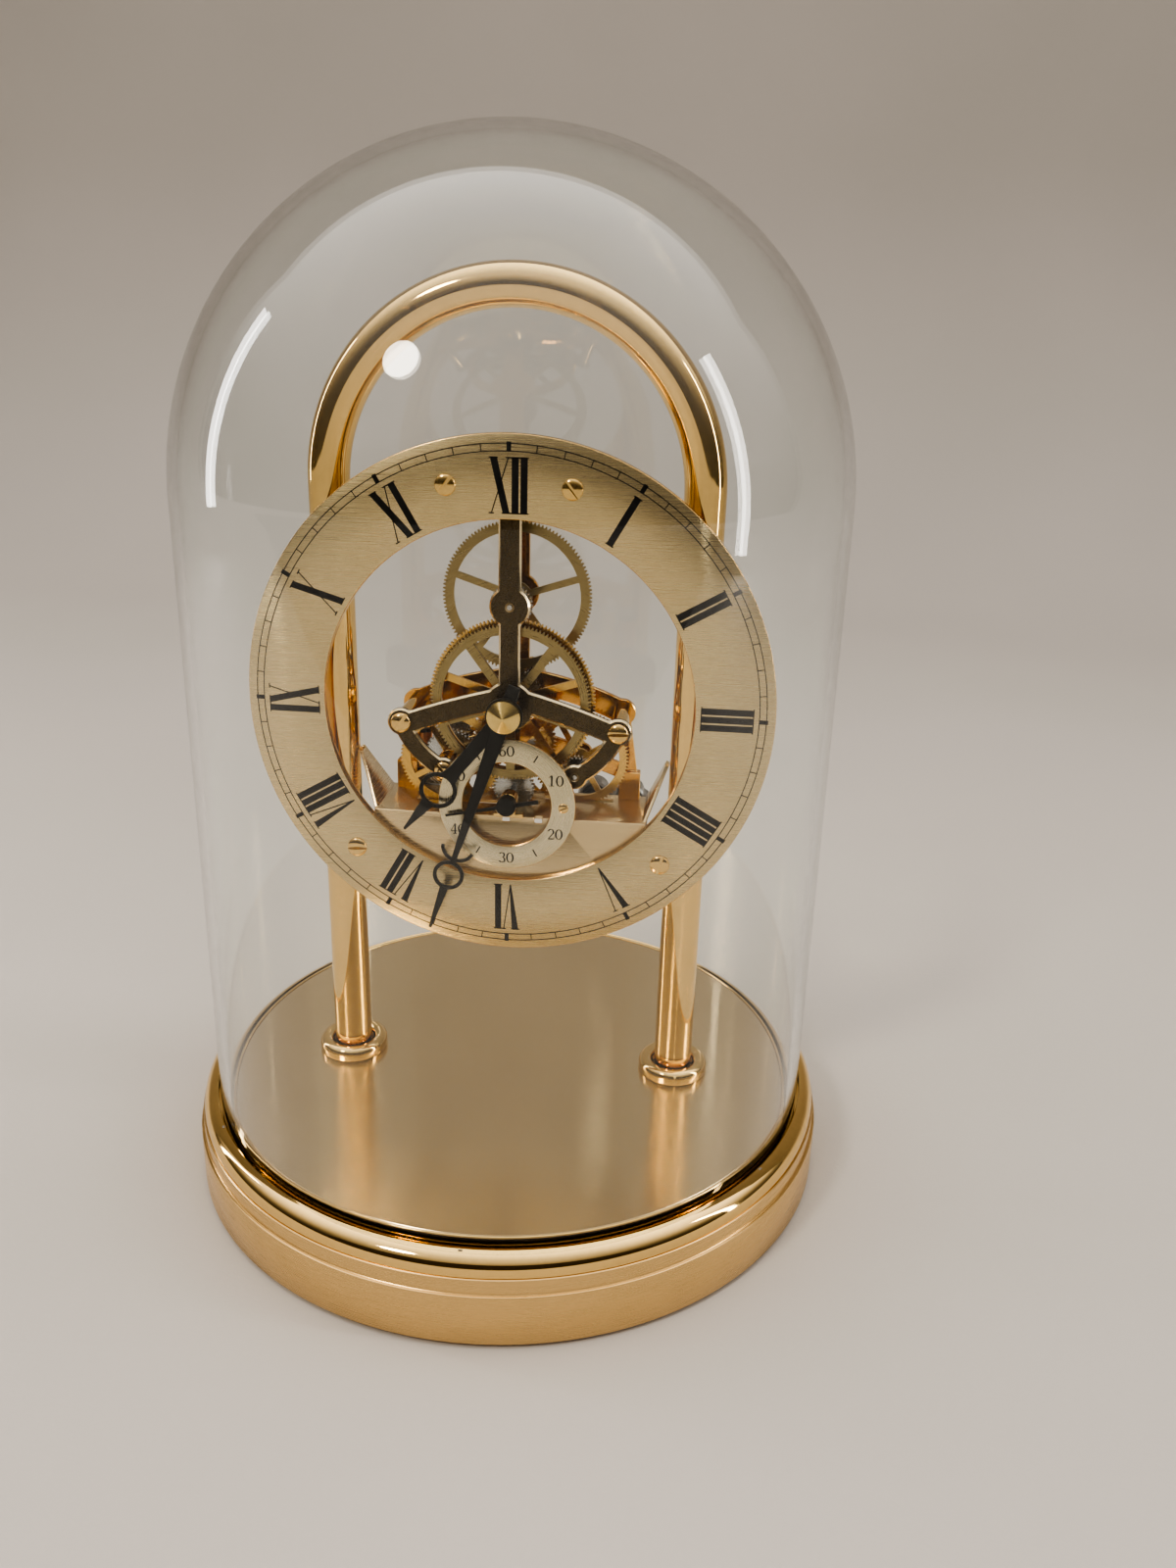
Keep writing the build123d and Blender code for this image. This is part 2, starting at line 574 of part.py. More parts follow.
def make_rear_plate():
    """Gold rear plate with every rear pivot, on two feet that stand on the shelf."""
    px, pz = PILLAR
    plan = spot(UPPER, 4.5) + bar(CENTRE, UPPER, 4.7) + spot(CENTRE, 6.2)
    plan += bar(UPPER, TOP_PILLAR, 4.4) + spot(TOP_PILLAR, 3.0)
    for side in (-1, 1):
        plan += strip((side * 3.0, 118.9), (side * 14.9, 116.2), (side * px, pz), 5.4)
        plan += spot((side * px, pz), 3.2)
        plan += bar((side * px, pz), (side * 27.0, 97.0), 3.6)
        plan += bar((side * 15.05, 101.4), (side * 27.0, 97.0), 3.6)
        plan += bar((side * 15.05, 101.4), (0, 105.85), 4.2)
        plan += spot((side * 15.05, 101.4), 2.9)
        plan += bar((side * 7.6, 113.9), CENTRE, 3.6) + spot((side * 7.6, 113.9), 2.0)
    plan += spot(IDLER, 3.2) + bar(IDLER, CENTRE, 4.0)
    plan += spot(SECONDS, 2.8) + bar(IDLER, SECONDS, 4.0)
    plan += spot(FIFTH, 2.2) + bar(FIFTH, IDLER, 3.0) + spot(ROTOR, 2.2) + bar(ROTOR, LEFT, 3.0)
    plan += bar((10.6, 92.6), (15.05, 101.4), 3.0) + spot((10.6, 94.0), 1.9)
    plate = slab(plan, REAR_PLATE_Y)
    for side in (-1, 1):
        plate += block(sorted((side * 24.5, side * 29.5)), (4.9, REAR_PLATE_Y[1]), (SHELF_Z[1], 98.0))
        plate -= post((side * 27.0, 6.3), 1.02, 90, 95.5)
    through = (REAR_PLATE_Y[0] - 1, REAR_PLATE_Y[1] + 1)
    plate -= rod(CENTRE, ARBOR_R + RUNNING_GAP, *through)
    plate -= rod(SECONDS, SECONDS_ARBOR_R + RUNNING_GAP, *through)
    for at in (UPPER, RIGHT, LEFT, IDLER, FIFTH, ROTOR):
        plate -= rod(at, PIVOT_R + RUNNING_GAP, *through)
    for at in ((-px, pz), (px, pz), TOP_PILLAR):
        plate -= rod(at, 1.05, *through)
    keep("rear_plate", plate)


def make_seconds_bearing():
    """Front bearing of the seconds arbor, on a foot on the shelf."""
    block_z = (SHELF_Z[1], SECONDS_Z)
    bearing = rod(SECONDS, 2.1, SECONDS_BEARING_Y[0] - 0.8, SECONDS_BEARING_Y[1])
    bearing += block((-1.6, 1.6), SECONDS_BEARING_Y, block_z)
    bearing += block((-3.4, 3.4), SECONDS_BEARING_Y, (SHELF_Z[1], SHELF_Z[1] + 0.8))
    bearing -= rod(SECONDS, SECONDS_ARBOR_R + RUNNING_GAP, -14, -6)
    keep("seconds_bearing", bearing)


def make_motor():
    """Stepping motor behind the rear plate: stator, core, coil and the bridge over its arbors."""
    plan = spot(SECONDS, 2.4) + spot(FIFTH, 2.2) + spot(ROTOR, 2.4)
    plan += bar(SECONDS, FIFTH, 3.0) + bar(FIFTH, ROTOR, 3.0)
    plan += bar(ROTOR, MOTOR_POSTS[0], 3.2) + bar(FIFTH, MOTOR_POSTS[1], 3.2) + bar(SECONDS, MOTOR_POSTS[2], 3.2)
    for at in MOTOR_POSTS:
        plan += spot(at, 2.0)
        keep("plate_posts", sleeve(at, 1.2, 0.62, REAR_PLATE_Y[1], MOTOR_BRIDGE_Y[0]))
        head = (MOTOR_BRIDGE_Y[1], MOTOR_BRIDGE_Y[1] + 0.7)
        keep("plate_screws", rear_screw(at, 1.5, 0.6, head, MOTOR_BRIDGE_Y[0] - 2))
    bridge = slab(plan, MOTOR_BRIDGE_Y)
    through = (MOTOR_BRIDGE_Y[0] - 1, MOTOR_BRIDGE_Y[1] + 1)
    for at in (SECONDS, FIFTH, ROTOR):
        bridge -= rod(at, PIVOT_R + RUNNING_GAP, *through)
    for at in MOTOR_POSTS:
        bridge -= rod(at, 0.65, *through)
    keep("motor_bridge", bridge)

    low, high = STATOR_Z
    pole = (ROTOR[0], (low + high) / 2)
    stator = slab(
        Pos(*pole) * RectangleRounded(8.4, high - low, 1.5)
        + Pos((COIL_AXIS_X + ROTOR[0]) / 2, low + 1.6) * Rectangle(10.0, 3.2)
        + Pos((COIL_AXIS_X + ROTOR[0]) / 2, high - 1.6) * Rectangle(10.0, 3.2)
        + spot((COIL_AXIS_X, low + 1.6), 1.6)
        + spot((COIL_AXIS_X, high - 1.6), 1.6)
        - spot(ROTOR, 3.1),
        STATOR_Y,
    )
    stator -= rod(MOTOR_POSTS[0], 1.3, 5, 12)
    keep("stator", stator)
    core_y = (STATOR_Y[1], STATOR_Y[1] + 0.8)
    core = slab(Pos(COIL_AXIS_X, pole[1]) * RectangleRounded(3.2, high - low, 1.5), core_y)
    keep("stator", core)
    bobbin_middle = (COIL_AXIS_X, sum(core_y) / 2)
    slot = block((COIL_AXIS_X - 1.62, COIL_AXIS_X + 1.62), (core_y[0] - 0.02, core_y[1] + 0.02), (80, 120))
    winding = post(bobbin_middle, 2.35, low + 4.4, high - 4.4) - slot
    keep("coil_winding", winding)
    flanges = []
    for z in (low + 3.9, high - 3.9):
        flanges.append(post(bobbin_middle, 2.7, z - 0.45, z + 0.45) - slot)
    keep("coil_bobbin", *flanges)


def make_circuit():
    """Circuit board under smoke-grey covers hung behind the shelf."""
    covers = []
    for x_low, x_high, lobes in ((-31.0, -21.0, (-26.5,)), (14.0, 31.5, (18.2, 27.0))):
        width = x_high - x_low
        middle = (x_low + x_high) / 2
        cover = block((x_low, x_high), COVER_Y, COVER_Z)
        cover -= block((x_low + 1.0, x_high - 1.0), (8.0, COVER_Y[1] - 1), (80.0, 88.6))
        for x in lobes:
            cover += rod((x, 89.4), 3.4, *COVER_Y) - rod((x, 89.4), 2.5, 8.0, COVER_Y[1] - 1)
        covers.append(cover - block((x_low + 1.0, x_high - 1.0), (8.0, COVER_Y[1] - 1), (80.0, 88.6)))
        keep("circuit_board", block((middle - width / 2 + 1.4, middle + width / 2 - 1.4), (12.0, 13.0), (80.4, 88.2)))
    keep("circuit_covers", *covers)
    keep("quartz_crystal", Pos(26.0, 14.3, 84.0) * Rot(0, 90, 0) * Cylinder(1.2, 6.0))
    keep("circuit_chip", block((16.4, 20.8), (13.0, 14.2), (82.0, 86.4)))


# ---------------------------------------------------------------- turning parts


def hand_plan(at, angle, outline_parts):
    """Turns a hand drawn pointing up (12 o'clock) to its clockwise angle and moves it to its arbor."""
    return Pos(*at) * (Rot(0, 0, -angle) * outline_parts)


def taper(root_z, root_width, tip_z, tip_width):
    """A straight tapered blade pointing up."""
    points = [
        (-root_width / 2, root_z),
        (root_width / 2, root_z),
        (tip_width / 2, tip_z),
        (-tip_width / 2, tip_z),
    ]
    return make_face(Polyline(*points, close=True))


def make_minute_body():
    wheel_module, pinion_phase, wheel_phase = mesh(RIGHT, CENTRE, 22, 132)
    hub_r = 3.0
    keep("centre_wheel", wheel(CENTRE, 132, wheel_module, wheel_phase, CENTRE_WHEEL_Y, ARBOR_R, 16.2, hub_r,
                               1.7, 5, 18))
    module, cannon_phase, _ = mesh(CENTRE, UPPER, 40, 120)
    keep("centre_arbor", pinion(CENTRE, 40, module, cannon_phase, beside(UPPER_WHEEL_Y), ARBOR_R))
    arbor_front = HAND_NUT_Y[0] + 1.2
    shaft = rod(CENTRE, ARBOR_R, arbor_front, KNOB_Y[1] - 1.0)
    collets = [(2.2, CENTRE_WHEEL_Y[1], CENTRE_WHEEL_Y[1] + 0.9)]
    shoulders = [(1.75, 0.4, beside(UPPER_WHEEL_Y)[0]), (1.75, beside(UPPER_WHEEL_Y)[1], 5.6)]
    for radius, front, back in collets + shoulders:
        shaft += rod(CENTRE, radius, front, back)
    keep("centre_arbor", shaft)

    hand = taper(-7.0, 2.6, 0, 3.9) + taper(0, 3.9, 33.5, 1.5) + taper(33, 1.4, 38, 1.2)
    hand += Pos(0, 41.0) * (Circle(3.6) - Circle(2.75))
    hand += taper(44.2, 2.0, 55.3, 0.7) + Circle(3.2)
    for side in (-1, 1):
        hook = ThreePointArc((0, 36.9), (side * 2.3, 36.1), (side * 3.5, 34.1))
        hand += trace(hook, line_width=0.75)
    hand -= Circle(ARBOR_R + 0.01)
    keep("minute_hand", slab(hand_plan(CENTRE, MINUTE_ANGLE, hand), MINUTE_HAND_Y))
    keep("hand_washer", sleeve(CENTRE, 4.1, ARBOR_R + 0.01, HAND_NUT_Y[1], MINUTE_HAND_Y[0]))
    front, back = HAND_NUT_Y
    rim = front + 1.5
    nut = rod(CENTRE, 3.7, rim, back)
    nut += Pos(0, rim, DIAL_Z) * Rot(90, 0, 0) * Cone(3.7, 0.25, rim - front, align=(
        Align.CENTER, Align.CENTER, Align.MIN))
    teeth = 36
    for tooth in range(teeth):
        x, z = polar(CENTRE, 3.85, 2 * pi * tooth / teeth)
        nut -= rod((x, z), 0.2, rim - 0.3, back + 0.1)
    nut -= rod(CENTRE, ARBOR_R + 0.01, arbor_front, back + 1)
    keep("hand_nut", nut)

    knob = sleeve(CENTRE, 5.6, ARBOR_R + 0.01, *KNOB_Y)
    for tooth in range(24):
        x, z = polar(CENTRE, 5.75, 2 * pi * tooth / 24)
        knob -= rod((x, z), 0.42, KNOB_Y[0] + 1.0, KNOB_Y[1] + 1)
    knob += rod(CENTRE, 2.4, KNOB_Y[0] - 0.8, KNOB_Y[0]) - rod(CENTRE, ARBOR_R + 0.01, 0, 30)
    keep("setting_knob", knob)


def make_hour_body():
    module, _, wheel_phase = mesh(UPPER, CENTRE, 32, 128)
    keep("hour_wheel", wheel(CENTRE, 128, module, wheel_phase, HOUR_WHEEL_Y, HOUR_PIPE_R, 15.8, 4.0, 2.0, 5, 54))
    bore = ARBOR_R + RUNNING_GAP
    pipe = sleeve(CENTRE, HOUR_PIPE_R, bore, HOUR_HAND_Y[0] - 0.3, HOUR_WHEEL_Y[1] + 0.8)
    pipe += sleeve(CENTRE, 3.2, bore, HOUR_WHEEL_Y[1], HOUR_WHEEL_Y[1] + 0.8)
    keep("hour_pipe", pipe)
    hand = taper(0, 3.5, 20.6, 2.9) + Circle(3.4)
    hand += Pos(0, 24.3) * (Circle(4.3) - Circle(3.4))
    hand += taper(28.0, 3.1, 30.8, 2.2) + taper(30.6, 2.5, 33.6, 1.4) + taper(33.4, 1.5, 37.0, 0.6)
    hand += taper(17.8, 3.0, 20.7, 4.0)
    hand -= Circle(HOUR_PIPE_R + 0.01)
    keep("hour_hand", slab(hand_plan(CENTRE, HOUR_ANGLE, hand), HOUR_HAND_Y))


def make_minute_wheel_body():
    module, _, wheel_phase = mesh(CENTRE, UPPER, 40, 120)
    keep("minute_wheel", wheel(UPPER, 120, module, wheel_phase, UPPER_WHEEL_Y, ARBOR_R, 14.5, 3.4, 1.5, 5, 90))
    module, phase, _ = mesh(UPPER, CENTRE, 32, 128)
    layer = beside(HOUR_WHEEL_Y)
    keep("minute_wheel_arbor", pinion(UPPER, 32, module, phase, layer, ARBOR_R))
    bosses = [(1.8, layer[1], layer[1] + 0.8), (2.2, UPPER_WHEEL_Y[1], UPPER_WHEEL_Y[1] + 0.9)]
    keep("minute_wheel_arbor", arbor(UPPER, BRIDGE_Y[0] - 0.1, REAR_PLATE_Y[1] + 0.1, ARBOR_R, bosses))


def make_right_body():
    module, _, wheel_phase = mesh(IDLER, RIGHT, 30, 80)
    keep("right_wheel", wheel(RIGHT, 80, module, wheel_phase, RIGHT_WHEEL_Y, 0.8, 9.4, 2.4, 1.3, 4, 30))
    module, phase, _ = mesh(RIGHT, CENTRE, 22, 132)
    keep("right_arbor", pinion(RIGHT, 22, module, phase, beside(CENTRE_WHEEL_Y), 0.8))
    bosses = [(1.6, RIGHT_WHEEL_Y[1], RIGHT_WHEEL_Y[1] + 0.7), (1.3, CENTRE_WHEEL_Y[1] + 0.3, -3.2)]
    keep("right_arbor", arbor(RIGHT, BRIDGE_Y[0] - 0.1, REAR_PLATE_Y[1] + 0.1, 0.8, bosses))


def make_idler_body():
    module, _, wheel_phase = mesh(LEFT, IDLER, 40, 60)
    keep("idler_wheel", wheel(IDLER, 60, module, wheel_phase, IDLER_WHEEL_Y, 0.8, 7.6, 2.2, 1.2, 4, 20))
    module, phase, _ = mesh(IDLER, RIGHT, 30, 80)
    keep("idler_arbor", pinion(IDLER, 30, module, phase, beside(RIGHT_WHEEL_Y), 0.8))
    bosses = [(1.4, -0.4, IDLER_WHEEL_Y[0]), (1.4, IDLER_WHEEL_Y[1], IDLER_WHEEL_Y[1] + 0.6)]
    keep("idler_arbor", arbor(IDLER, TRAIN_BRIDGE_Y[0], REAR_PLATE_Y[1] + 0.1, 0.8, bosses))


def make_left_body():
    module, _, wheel_phase = mesh(SECONDS, LEFT, 32, 80)
    keep("left_wheel", wheel(LEFT, 80, module, wheel_phase, LEFT_WHEEL_Y, 0.8, 9.6, 2.4, 1.3, 4, 30))
    module, phase, _ = mesh(LEFT, IDLER, 40, 60)
    keep("left_arbor", pinion(LEFT, 40, module, phase, beside(IDLER_WHEEL_Y, 0.2), 0.8))
    bosses = [(1.5, LEFT_WHEEL_Y[1], LEFT_WHEEL_Y[1] + 0.5)]
    keep("left_arbor", arbor(LEFT, TRAIN_BRIDGE_Y[0] + 0.1, REAR_PLATE_Y[1] + 0.1, 0.8, bosses))


def make_seconds_body():
    module, _, wheel_phase = mesh(FIFTH, SECONDS, 15, 75)
    keep("seconds_wheel", wheel(SECONDS, 75, module, wheel_phase, SECONDS_WHEEL_Y, SECONDS_ARBOR_R, 6.4, 1.8,
                                1.0, 4, 45))
    module, phase, _ = mesh(SECONDS, LEFT, 32, 80)
    keep("seconds_arbor", pinion(SECONDS, 32, module, phase, beside(LEFT_WHEEL_Y), SECONDS_ARBOR_R))
    front, back = SECOND_HAND_Y[0] - 0.1, MOTOR_BRIDGE_Y[1] + 0.1
    shaft = rod(SECONDS, SECONDS_ARBOR_R, front, MOTOR_BRIDGE_Y[0] - 0.4) + rod(SECONDS, PIVOT_R, 10, back)
    shaft += rod(SECONDS, 1.3, SECONDS_WHEEL_Y[1], SECONDS_WHEEL_Y[1] + 0.6)
    shaft += rod(SECONDS, 1.3, LEFT_WHEEL_Y[1] + 0.3, LEFT_WHEEL_Y[1] + 1.2)
    keep("seconds_arbor", shaft)
    blade = taper(-7.5, 0.9, 0, 0.9) + taper(0, 0.9, 14.2, 0.5)
    blade -= Circle(SECONDS_ARBOR_R + 0.01)
    hand = slab(hand_plan(SECONDS, SECOND_ANGLE, blade), SECOND_HAND_Y)
    boss_y = (SECOND_HAND_Y[0] - 0.4, SECOND_HAND_Y[1] + 1.4)
    hand += rod(SECONDS, 2.2, *boss_y) - rod(SECONDS, SECONDS_ARBOR_R + 0.01, front, 0)
    keep("seconds_hand", hand)


def make_fifth_body():
    module, _, wheel_phase = mesh(ROTOR, FIFTH, 12, 72)
    keep("fifth_wheel", wheel(FIFTH, 72, module, wheel_phase, FIFTH_WHEEL_Y, 0.7, 5.8, 1.8, 1.0, 3, 15))
    module, phase, _ = mesh(FIFTH, SECONDS, 15, 75)
    keep("fifth_arbor", pinion(FIFTH, 15, module, phase, beside(SECONDS_WHEEL_Y), 0.7))
    bosses = [(1.2, FIFTH_WHEEL_Y[1], FIFTH_WHEEL_Y[1] + 0.5)]
    keep("fifth_arbor", arbor(FIFTH, REAR_PLATE_Y[0] + 0.3, MOTOR_BRIDGE_Y[1] + 0.1, 0.7, bosses))


def make_rotor_body():
    module, phase, _ = mesh(ROTOR, FIFTH, 12, 72)
    keep("rotor_arbor", pinion(ROTOR, 12, module, phase, beside(FIFTH_WHEEL_Y), 0.5))
    shaft = rod(ROTOR, 0.5, REAR_PLATE_Y[0] + 0.3, MOTOR_BRIDGE_Y[1] + 0.1)
    keep("rotor_arbor", shaft)
    keep("rotor_magnet", sleeve(ROTOR, 2.6, 0.51, STATOR_Y[0] - 0.4, STATOR_Y[1]))


# ---------------------------------------------------------------- build

make_base()
make_underside()
make_dome()
make_arch()
make_dial()
make_seconds_dial()
make_shelf()
make_front_bridge()
make_pillars()
make_train_bridge()
make_rear_plate()
make_seconds_bearing()
make_motor()
make_circuit()
make_minute_body()
make_hour_body()
make_minute_wheel_body()
make_right_body()
make_idler_body()
make_left_body()
make_seconds_body()
make_fifth_body()
make_rotor_body()

os.makedirs("parts", exist_ok=True)
for name, solids in parts.items():
    node = Compound(children=[solid for made in solids for solid in made.solids()])
    node.label = name
    export_step(node, f"parts/{name}.step")
print(len(parts), "nodes")
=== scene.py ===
import json
from math import cos, hypot, pi, radians, sin

import bmesh
import bpy
from mathutils import Matrix, Vector

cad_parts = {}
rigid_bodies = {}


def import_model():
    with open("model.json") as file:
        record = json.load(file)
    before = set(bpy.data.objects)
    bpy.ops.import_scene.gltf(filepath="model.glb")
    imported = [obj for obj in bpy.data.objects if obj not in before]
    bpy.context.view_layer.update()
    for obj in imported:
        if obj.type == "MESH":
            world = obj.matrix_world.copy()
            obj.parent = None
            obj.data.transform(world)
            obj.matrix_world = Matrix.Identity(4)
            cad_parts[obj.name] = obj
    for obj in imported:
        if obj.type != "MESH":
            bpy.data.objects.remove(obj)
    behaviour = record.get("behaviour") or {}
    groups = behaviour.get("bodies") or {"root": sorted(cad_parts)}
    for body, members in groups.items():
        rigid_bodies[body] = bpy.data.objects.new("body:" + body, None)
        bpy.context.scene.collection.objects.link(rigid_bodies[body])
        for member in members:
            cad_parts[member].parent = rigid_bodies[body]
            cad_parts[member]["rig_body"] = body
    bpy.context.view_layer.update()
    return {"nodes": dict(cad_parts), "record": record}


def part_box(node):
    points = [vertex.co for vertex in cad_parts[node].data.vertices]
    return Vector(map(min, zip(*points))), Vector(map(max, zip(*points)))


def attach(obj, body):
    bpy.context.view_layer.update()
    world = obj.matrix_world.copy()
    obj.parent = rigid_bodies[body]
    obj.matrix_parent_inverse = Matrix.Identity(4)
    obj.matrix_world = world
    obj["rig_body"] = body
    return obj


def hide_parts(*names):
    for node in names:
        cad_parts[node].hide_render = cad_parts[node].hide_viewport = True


# Anniversary clock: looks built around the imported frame. Outlines of pieces are in millimetres. Lights, the
# stage, the depth of relief and the scale of the textures are in metres.

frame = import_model()
nodes = frame["nodes"]
slots = {part["node"]: part["material_slot"] for part in frame["record"]["subparts"]}
MM = 0.001
collection = bpy.context.scene.collection

# ---------------------------------------------------------------- camera

CAMERA_AT = Vector((38.62, -271.14, 196.86)) * MM
YAW, PITCH, ROLL = -0.0780, -0.3549, 0.0288
FOCAL_PX, LONG_SIDE_PX, SENSOR = 1254.0, 1600.0, 36.0

forward = Vector((sin(YAW) * cos(PITCH), cos(YAW) * cos(PITCH), sin(PITCH)))
level = Vector((cos(YAW), -sin(YAW), 0.0))
upward = level.cross(forward)
right = cos(ROLL) * level + sin(ROLL) * upward
upward = cos(ROLL) * upward - sin(ROLL) * level
camera_data = bpy.data.cameras.new("camera")
camera_data.sensor_width = SENSOR
camera_data.lens = FOCAL_PX / LONG_SIDE_PX * SENSOR
camera_data.clip_start, camera_data.clip_end = 0.01, 20.0
camera = bpy.data.objects.new("camera", camera_data)
camera.matrix_world = Matrix.Translation(CAMERA_AT) @ Matrix((right, upward, -forward)).transposed().to_4x4()
collection.objects.link(camera)
bpy.context.scene.camera = camera

# ---------------------------------------------------------------- material nodes


def node(tree, kind, inputs=None, **settings):
    """A node with its settings, its input values, and links for the inputs given as sockets."""
    made = tree.nodes.new(kind)
    for key, value in settings.items():
        setattr(made, key, value)
    for key, value in (inputs or {}).items():
        if isinstance(value, bpy.types.NodeSocket):
            tree.links.new(value, made.inputs[key])
        else:
            made.inputs[key].default_value = value
    return made


def material(name):
    made = bpy.data.materials.new(name)
    made.use_nodes = True
    tree = made.node_tree
    return made, tree, tree.nodes["Principled BSDF"]


def place(tree):
    return tree.nodes.get("Texture Coordinate") or node(tree, "ShaderNodeTexCoord")


def noise(tree, vector, scale, detail=3.0, rough=0.55):
    values = {"Vector": vector, "Scale": scale, "Detail": detail, "Roughness": rough}
    return node(tree, "ShaderNodeTexNoise", values).outputs[0]


def stretched(tree, scale):
    """Object coordinates scaled by axis, so that noise on them runs in long lines."""
    mapping = node(tree, "ShaderNodeMapping", {"Vector": place(tree).outputs["Object"], "Scale": scale})
    return mapping.outputs[0]


def turned_place(tree, centre, axis, across, around):
    """Coordinates (radius, angle, depth) about an axis, for lines that run round it."""
    offset = node(tree, "ShaderNodeVectorMath", {0: place(tree).outputs["Object"], 1: centre},
                  operation="SUBTRACT")
    split = node(tree, "ShaderNodeSeparateXYZ", {0: offset.outputs[0]})
    first, second, depth = {"Z": (0, 1, 2), "Y": (0, 2, 1), "X": (1, 2, 0)}[axis]
    flat = node(tree, "ShaderNodeCombineXYZ", {0: split.outputs[first], 1: split.outputs[second]})
    radius = node(tree, "ShaderNodeVectorMath", {0: flat.outputs[0]}, operation="LENGTH")
    angle = node(tree, "ShaderNodeMath", {0: split.outputs[second], 1: split.outputs[first]},
                 operation="ARCTAN2")
    joined = node(tree, "ShaderNodeCombineXYZ", {0: radius.outputs["Value"], 1: angle.outputs[0],
                                                 2: split.outputs[depth]})
    return node(tree, "ShaderNodeVectorMath", {0: joined.outputs[0], 1: (across, around, across)},
                operation="MULTIPLY").outputs[0]


def spread(tree, value, low, high):
    made = node(tree, "ShaderNodeMapRange", {"Value": value, "From Min": 0.3, "From Max": 0.7, "To Min": low,
                                             "To Max": high})
    return made.outputs[0]


def shades(tree, value, dark, light, low=0.3, high=0.7):
    ramp = node(tree, "ShaderNodeValToRGB", {0: value})
    first, last = ramp.color_ramp.elements
    first.position, last.position = low, high
    first.color, last.color = (*dark, 1), (*light, 1)
    return ramp.outputs[0]


def scaled(color, factor):
    return tuple(min(1.0, c * factor) for c in color)


def metal(name, color, rough, lines, depth, patch=90.0, tint=0.10, anisotropy=0.0, tangent=None):
    """A metal finish: `lines` gives the coordinates of its fine marks, `depth` their relief in metres."""
    made, tree, shader = material(name)
    marks = noise(tree, lines(tree), 1.0, 4.0, 0.6)
    patches = noise(tree, place(tree).outputs["Object"], patch, 3.0)
    mean = node(tree, "ShaderNodeMix", {0: 0.3, 2: marks, 3: patches})
    tree.links.new(shades(tree, mean.outputs[0], scaled(color, 1 - tint), scaled(color, 1 + tint * 0.6)),
                   shader.inputs["Base Color"])
    tree.links.new(spread(tree, mean.outputs[0], rough[0], rough[1]), shader.inputs["Roughness"])
    bump = node(tree, "ShaderNodeBump", {"Height": marks, "Strength": 1.0, "Distance": depth})
    tree.links.new(bump.outputs[0], shader.inputs["Normal"])
    shader.inputs["Metallic"].default_value = 1.0
    shader.inputs["Anisotropic"].default_value = anisotropy
    if tangent:
        tree.links.new(tangent(tree), shader.inputs["Tangent"])
    return made


def along(x, y, z):
    return lambda tree: node(tree, "ShaderNodeCombineXYZ", {0: x, 1: y, 2: z}).outputs[0]


def out_from(axis):
    """The direction across turned marks: at right angles to the round of the axis and to the surface."""

    def build(tree):
        around = node(tree, "ShaderNodeTangent", direction_type="RADIAL", axis=axis).outputs[0]
        facing = node(tree, "ShaderNodeNewGeometry").outputs["Normal"]
        crossed = node(tree, "ShaderNodeVectorMath", {0: around, 1: facing}, operation="CROSS_PRODUCT")
        return crossed.outputs[0]

    return build


def straight(*scale):
    return lambda tree: stretched(tree, scale)


def turned(centre, axis, across, around=3.0):
    return lambda tree: turned_place(tree, centre, axis, across, around)


def dielectric(name, dark, light, rough, scale, depth, coat=0.0, **values):
    """A plastic, rubber or paint with a fine grain."""
    made, tree, shader = material(name)
    fine = noise(tree, place(tree).outputs["Object"], scale, 4.0, 0.6)
    broad = noise(tree, place(tree).outputs["Object"], scale / 25, 3.0)
    tree.links.new(shades(tree, broad, dark, light), shader.inputs["Base Color"])
    tree.links.new(spread(tree, fine, rough[0], rough[1]), shader.inputs["Roughness"])
    bump = node(tree, "ShaderNodeBump", {"Height": fine, "Strength": 1.0, "Distance": depth})
    tree.links.new(bump.outputs[0], shader.inputs["Normal"])
    if coat:
        shader.inputs["Coat Weight"].default_value = coat
    for key, value in values.items():
        shader.inputs[key.replace("_", " ")].default_value = value
    return made


DIAL_AT = (0.0, 0.0, 0.1173)
SECONDS_AT = (0.0, 0.0, 0.09495)
GOLD = (0.86, 0.61, 0.27)
PALE_GOLD = (0.78, 0.55, 0.27)
CHAMPAGNE = (0.70, 0.56, 0.33)

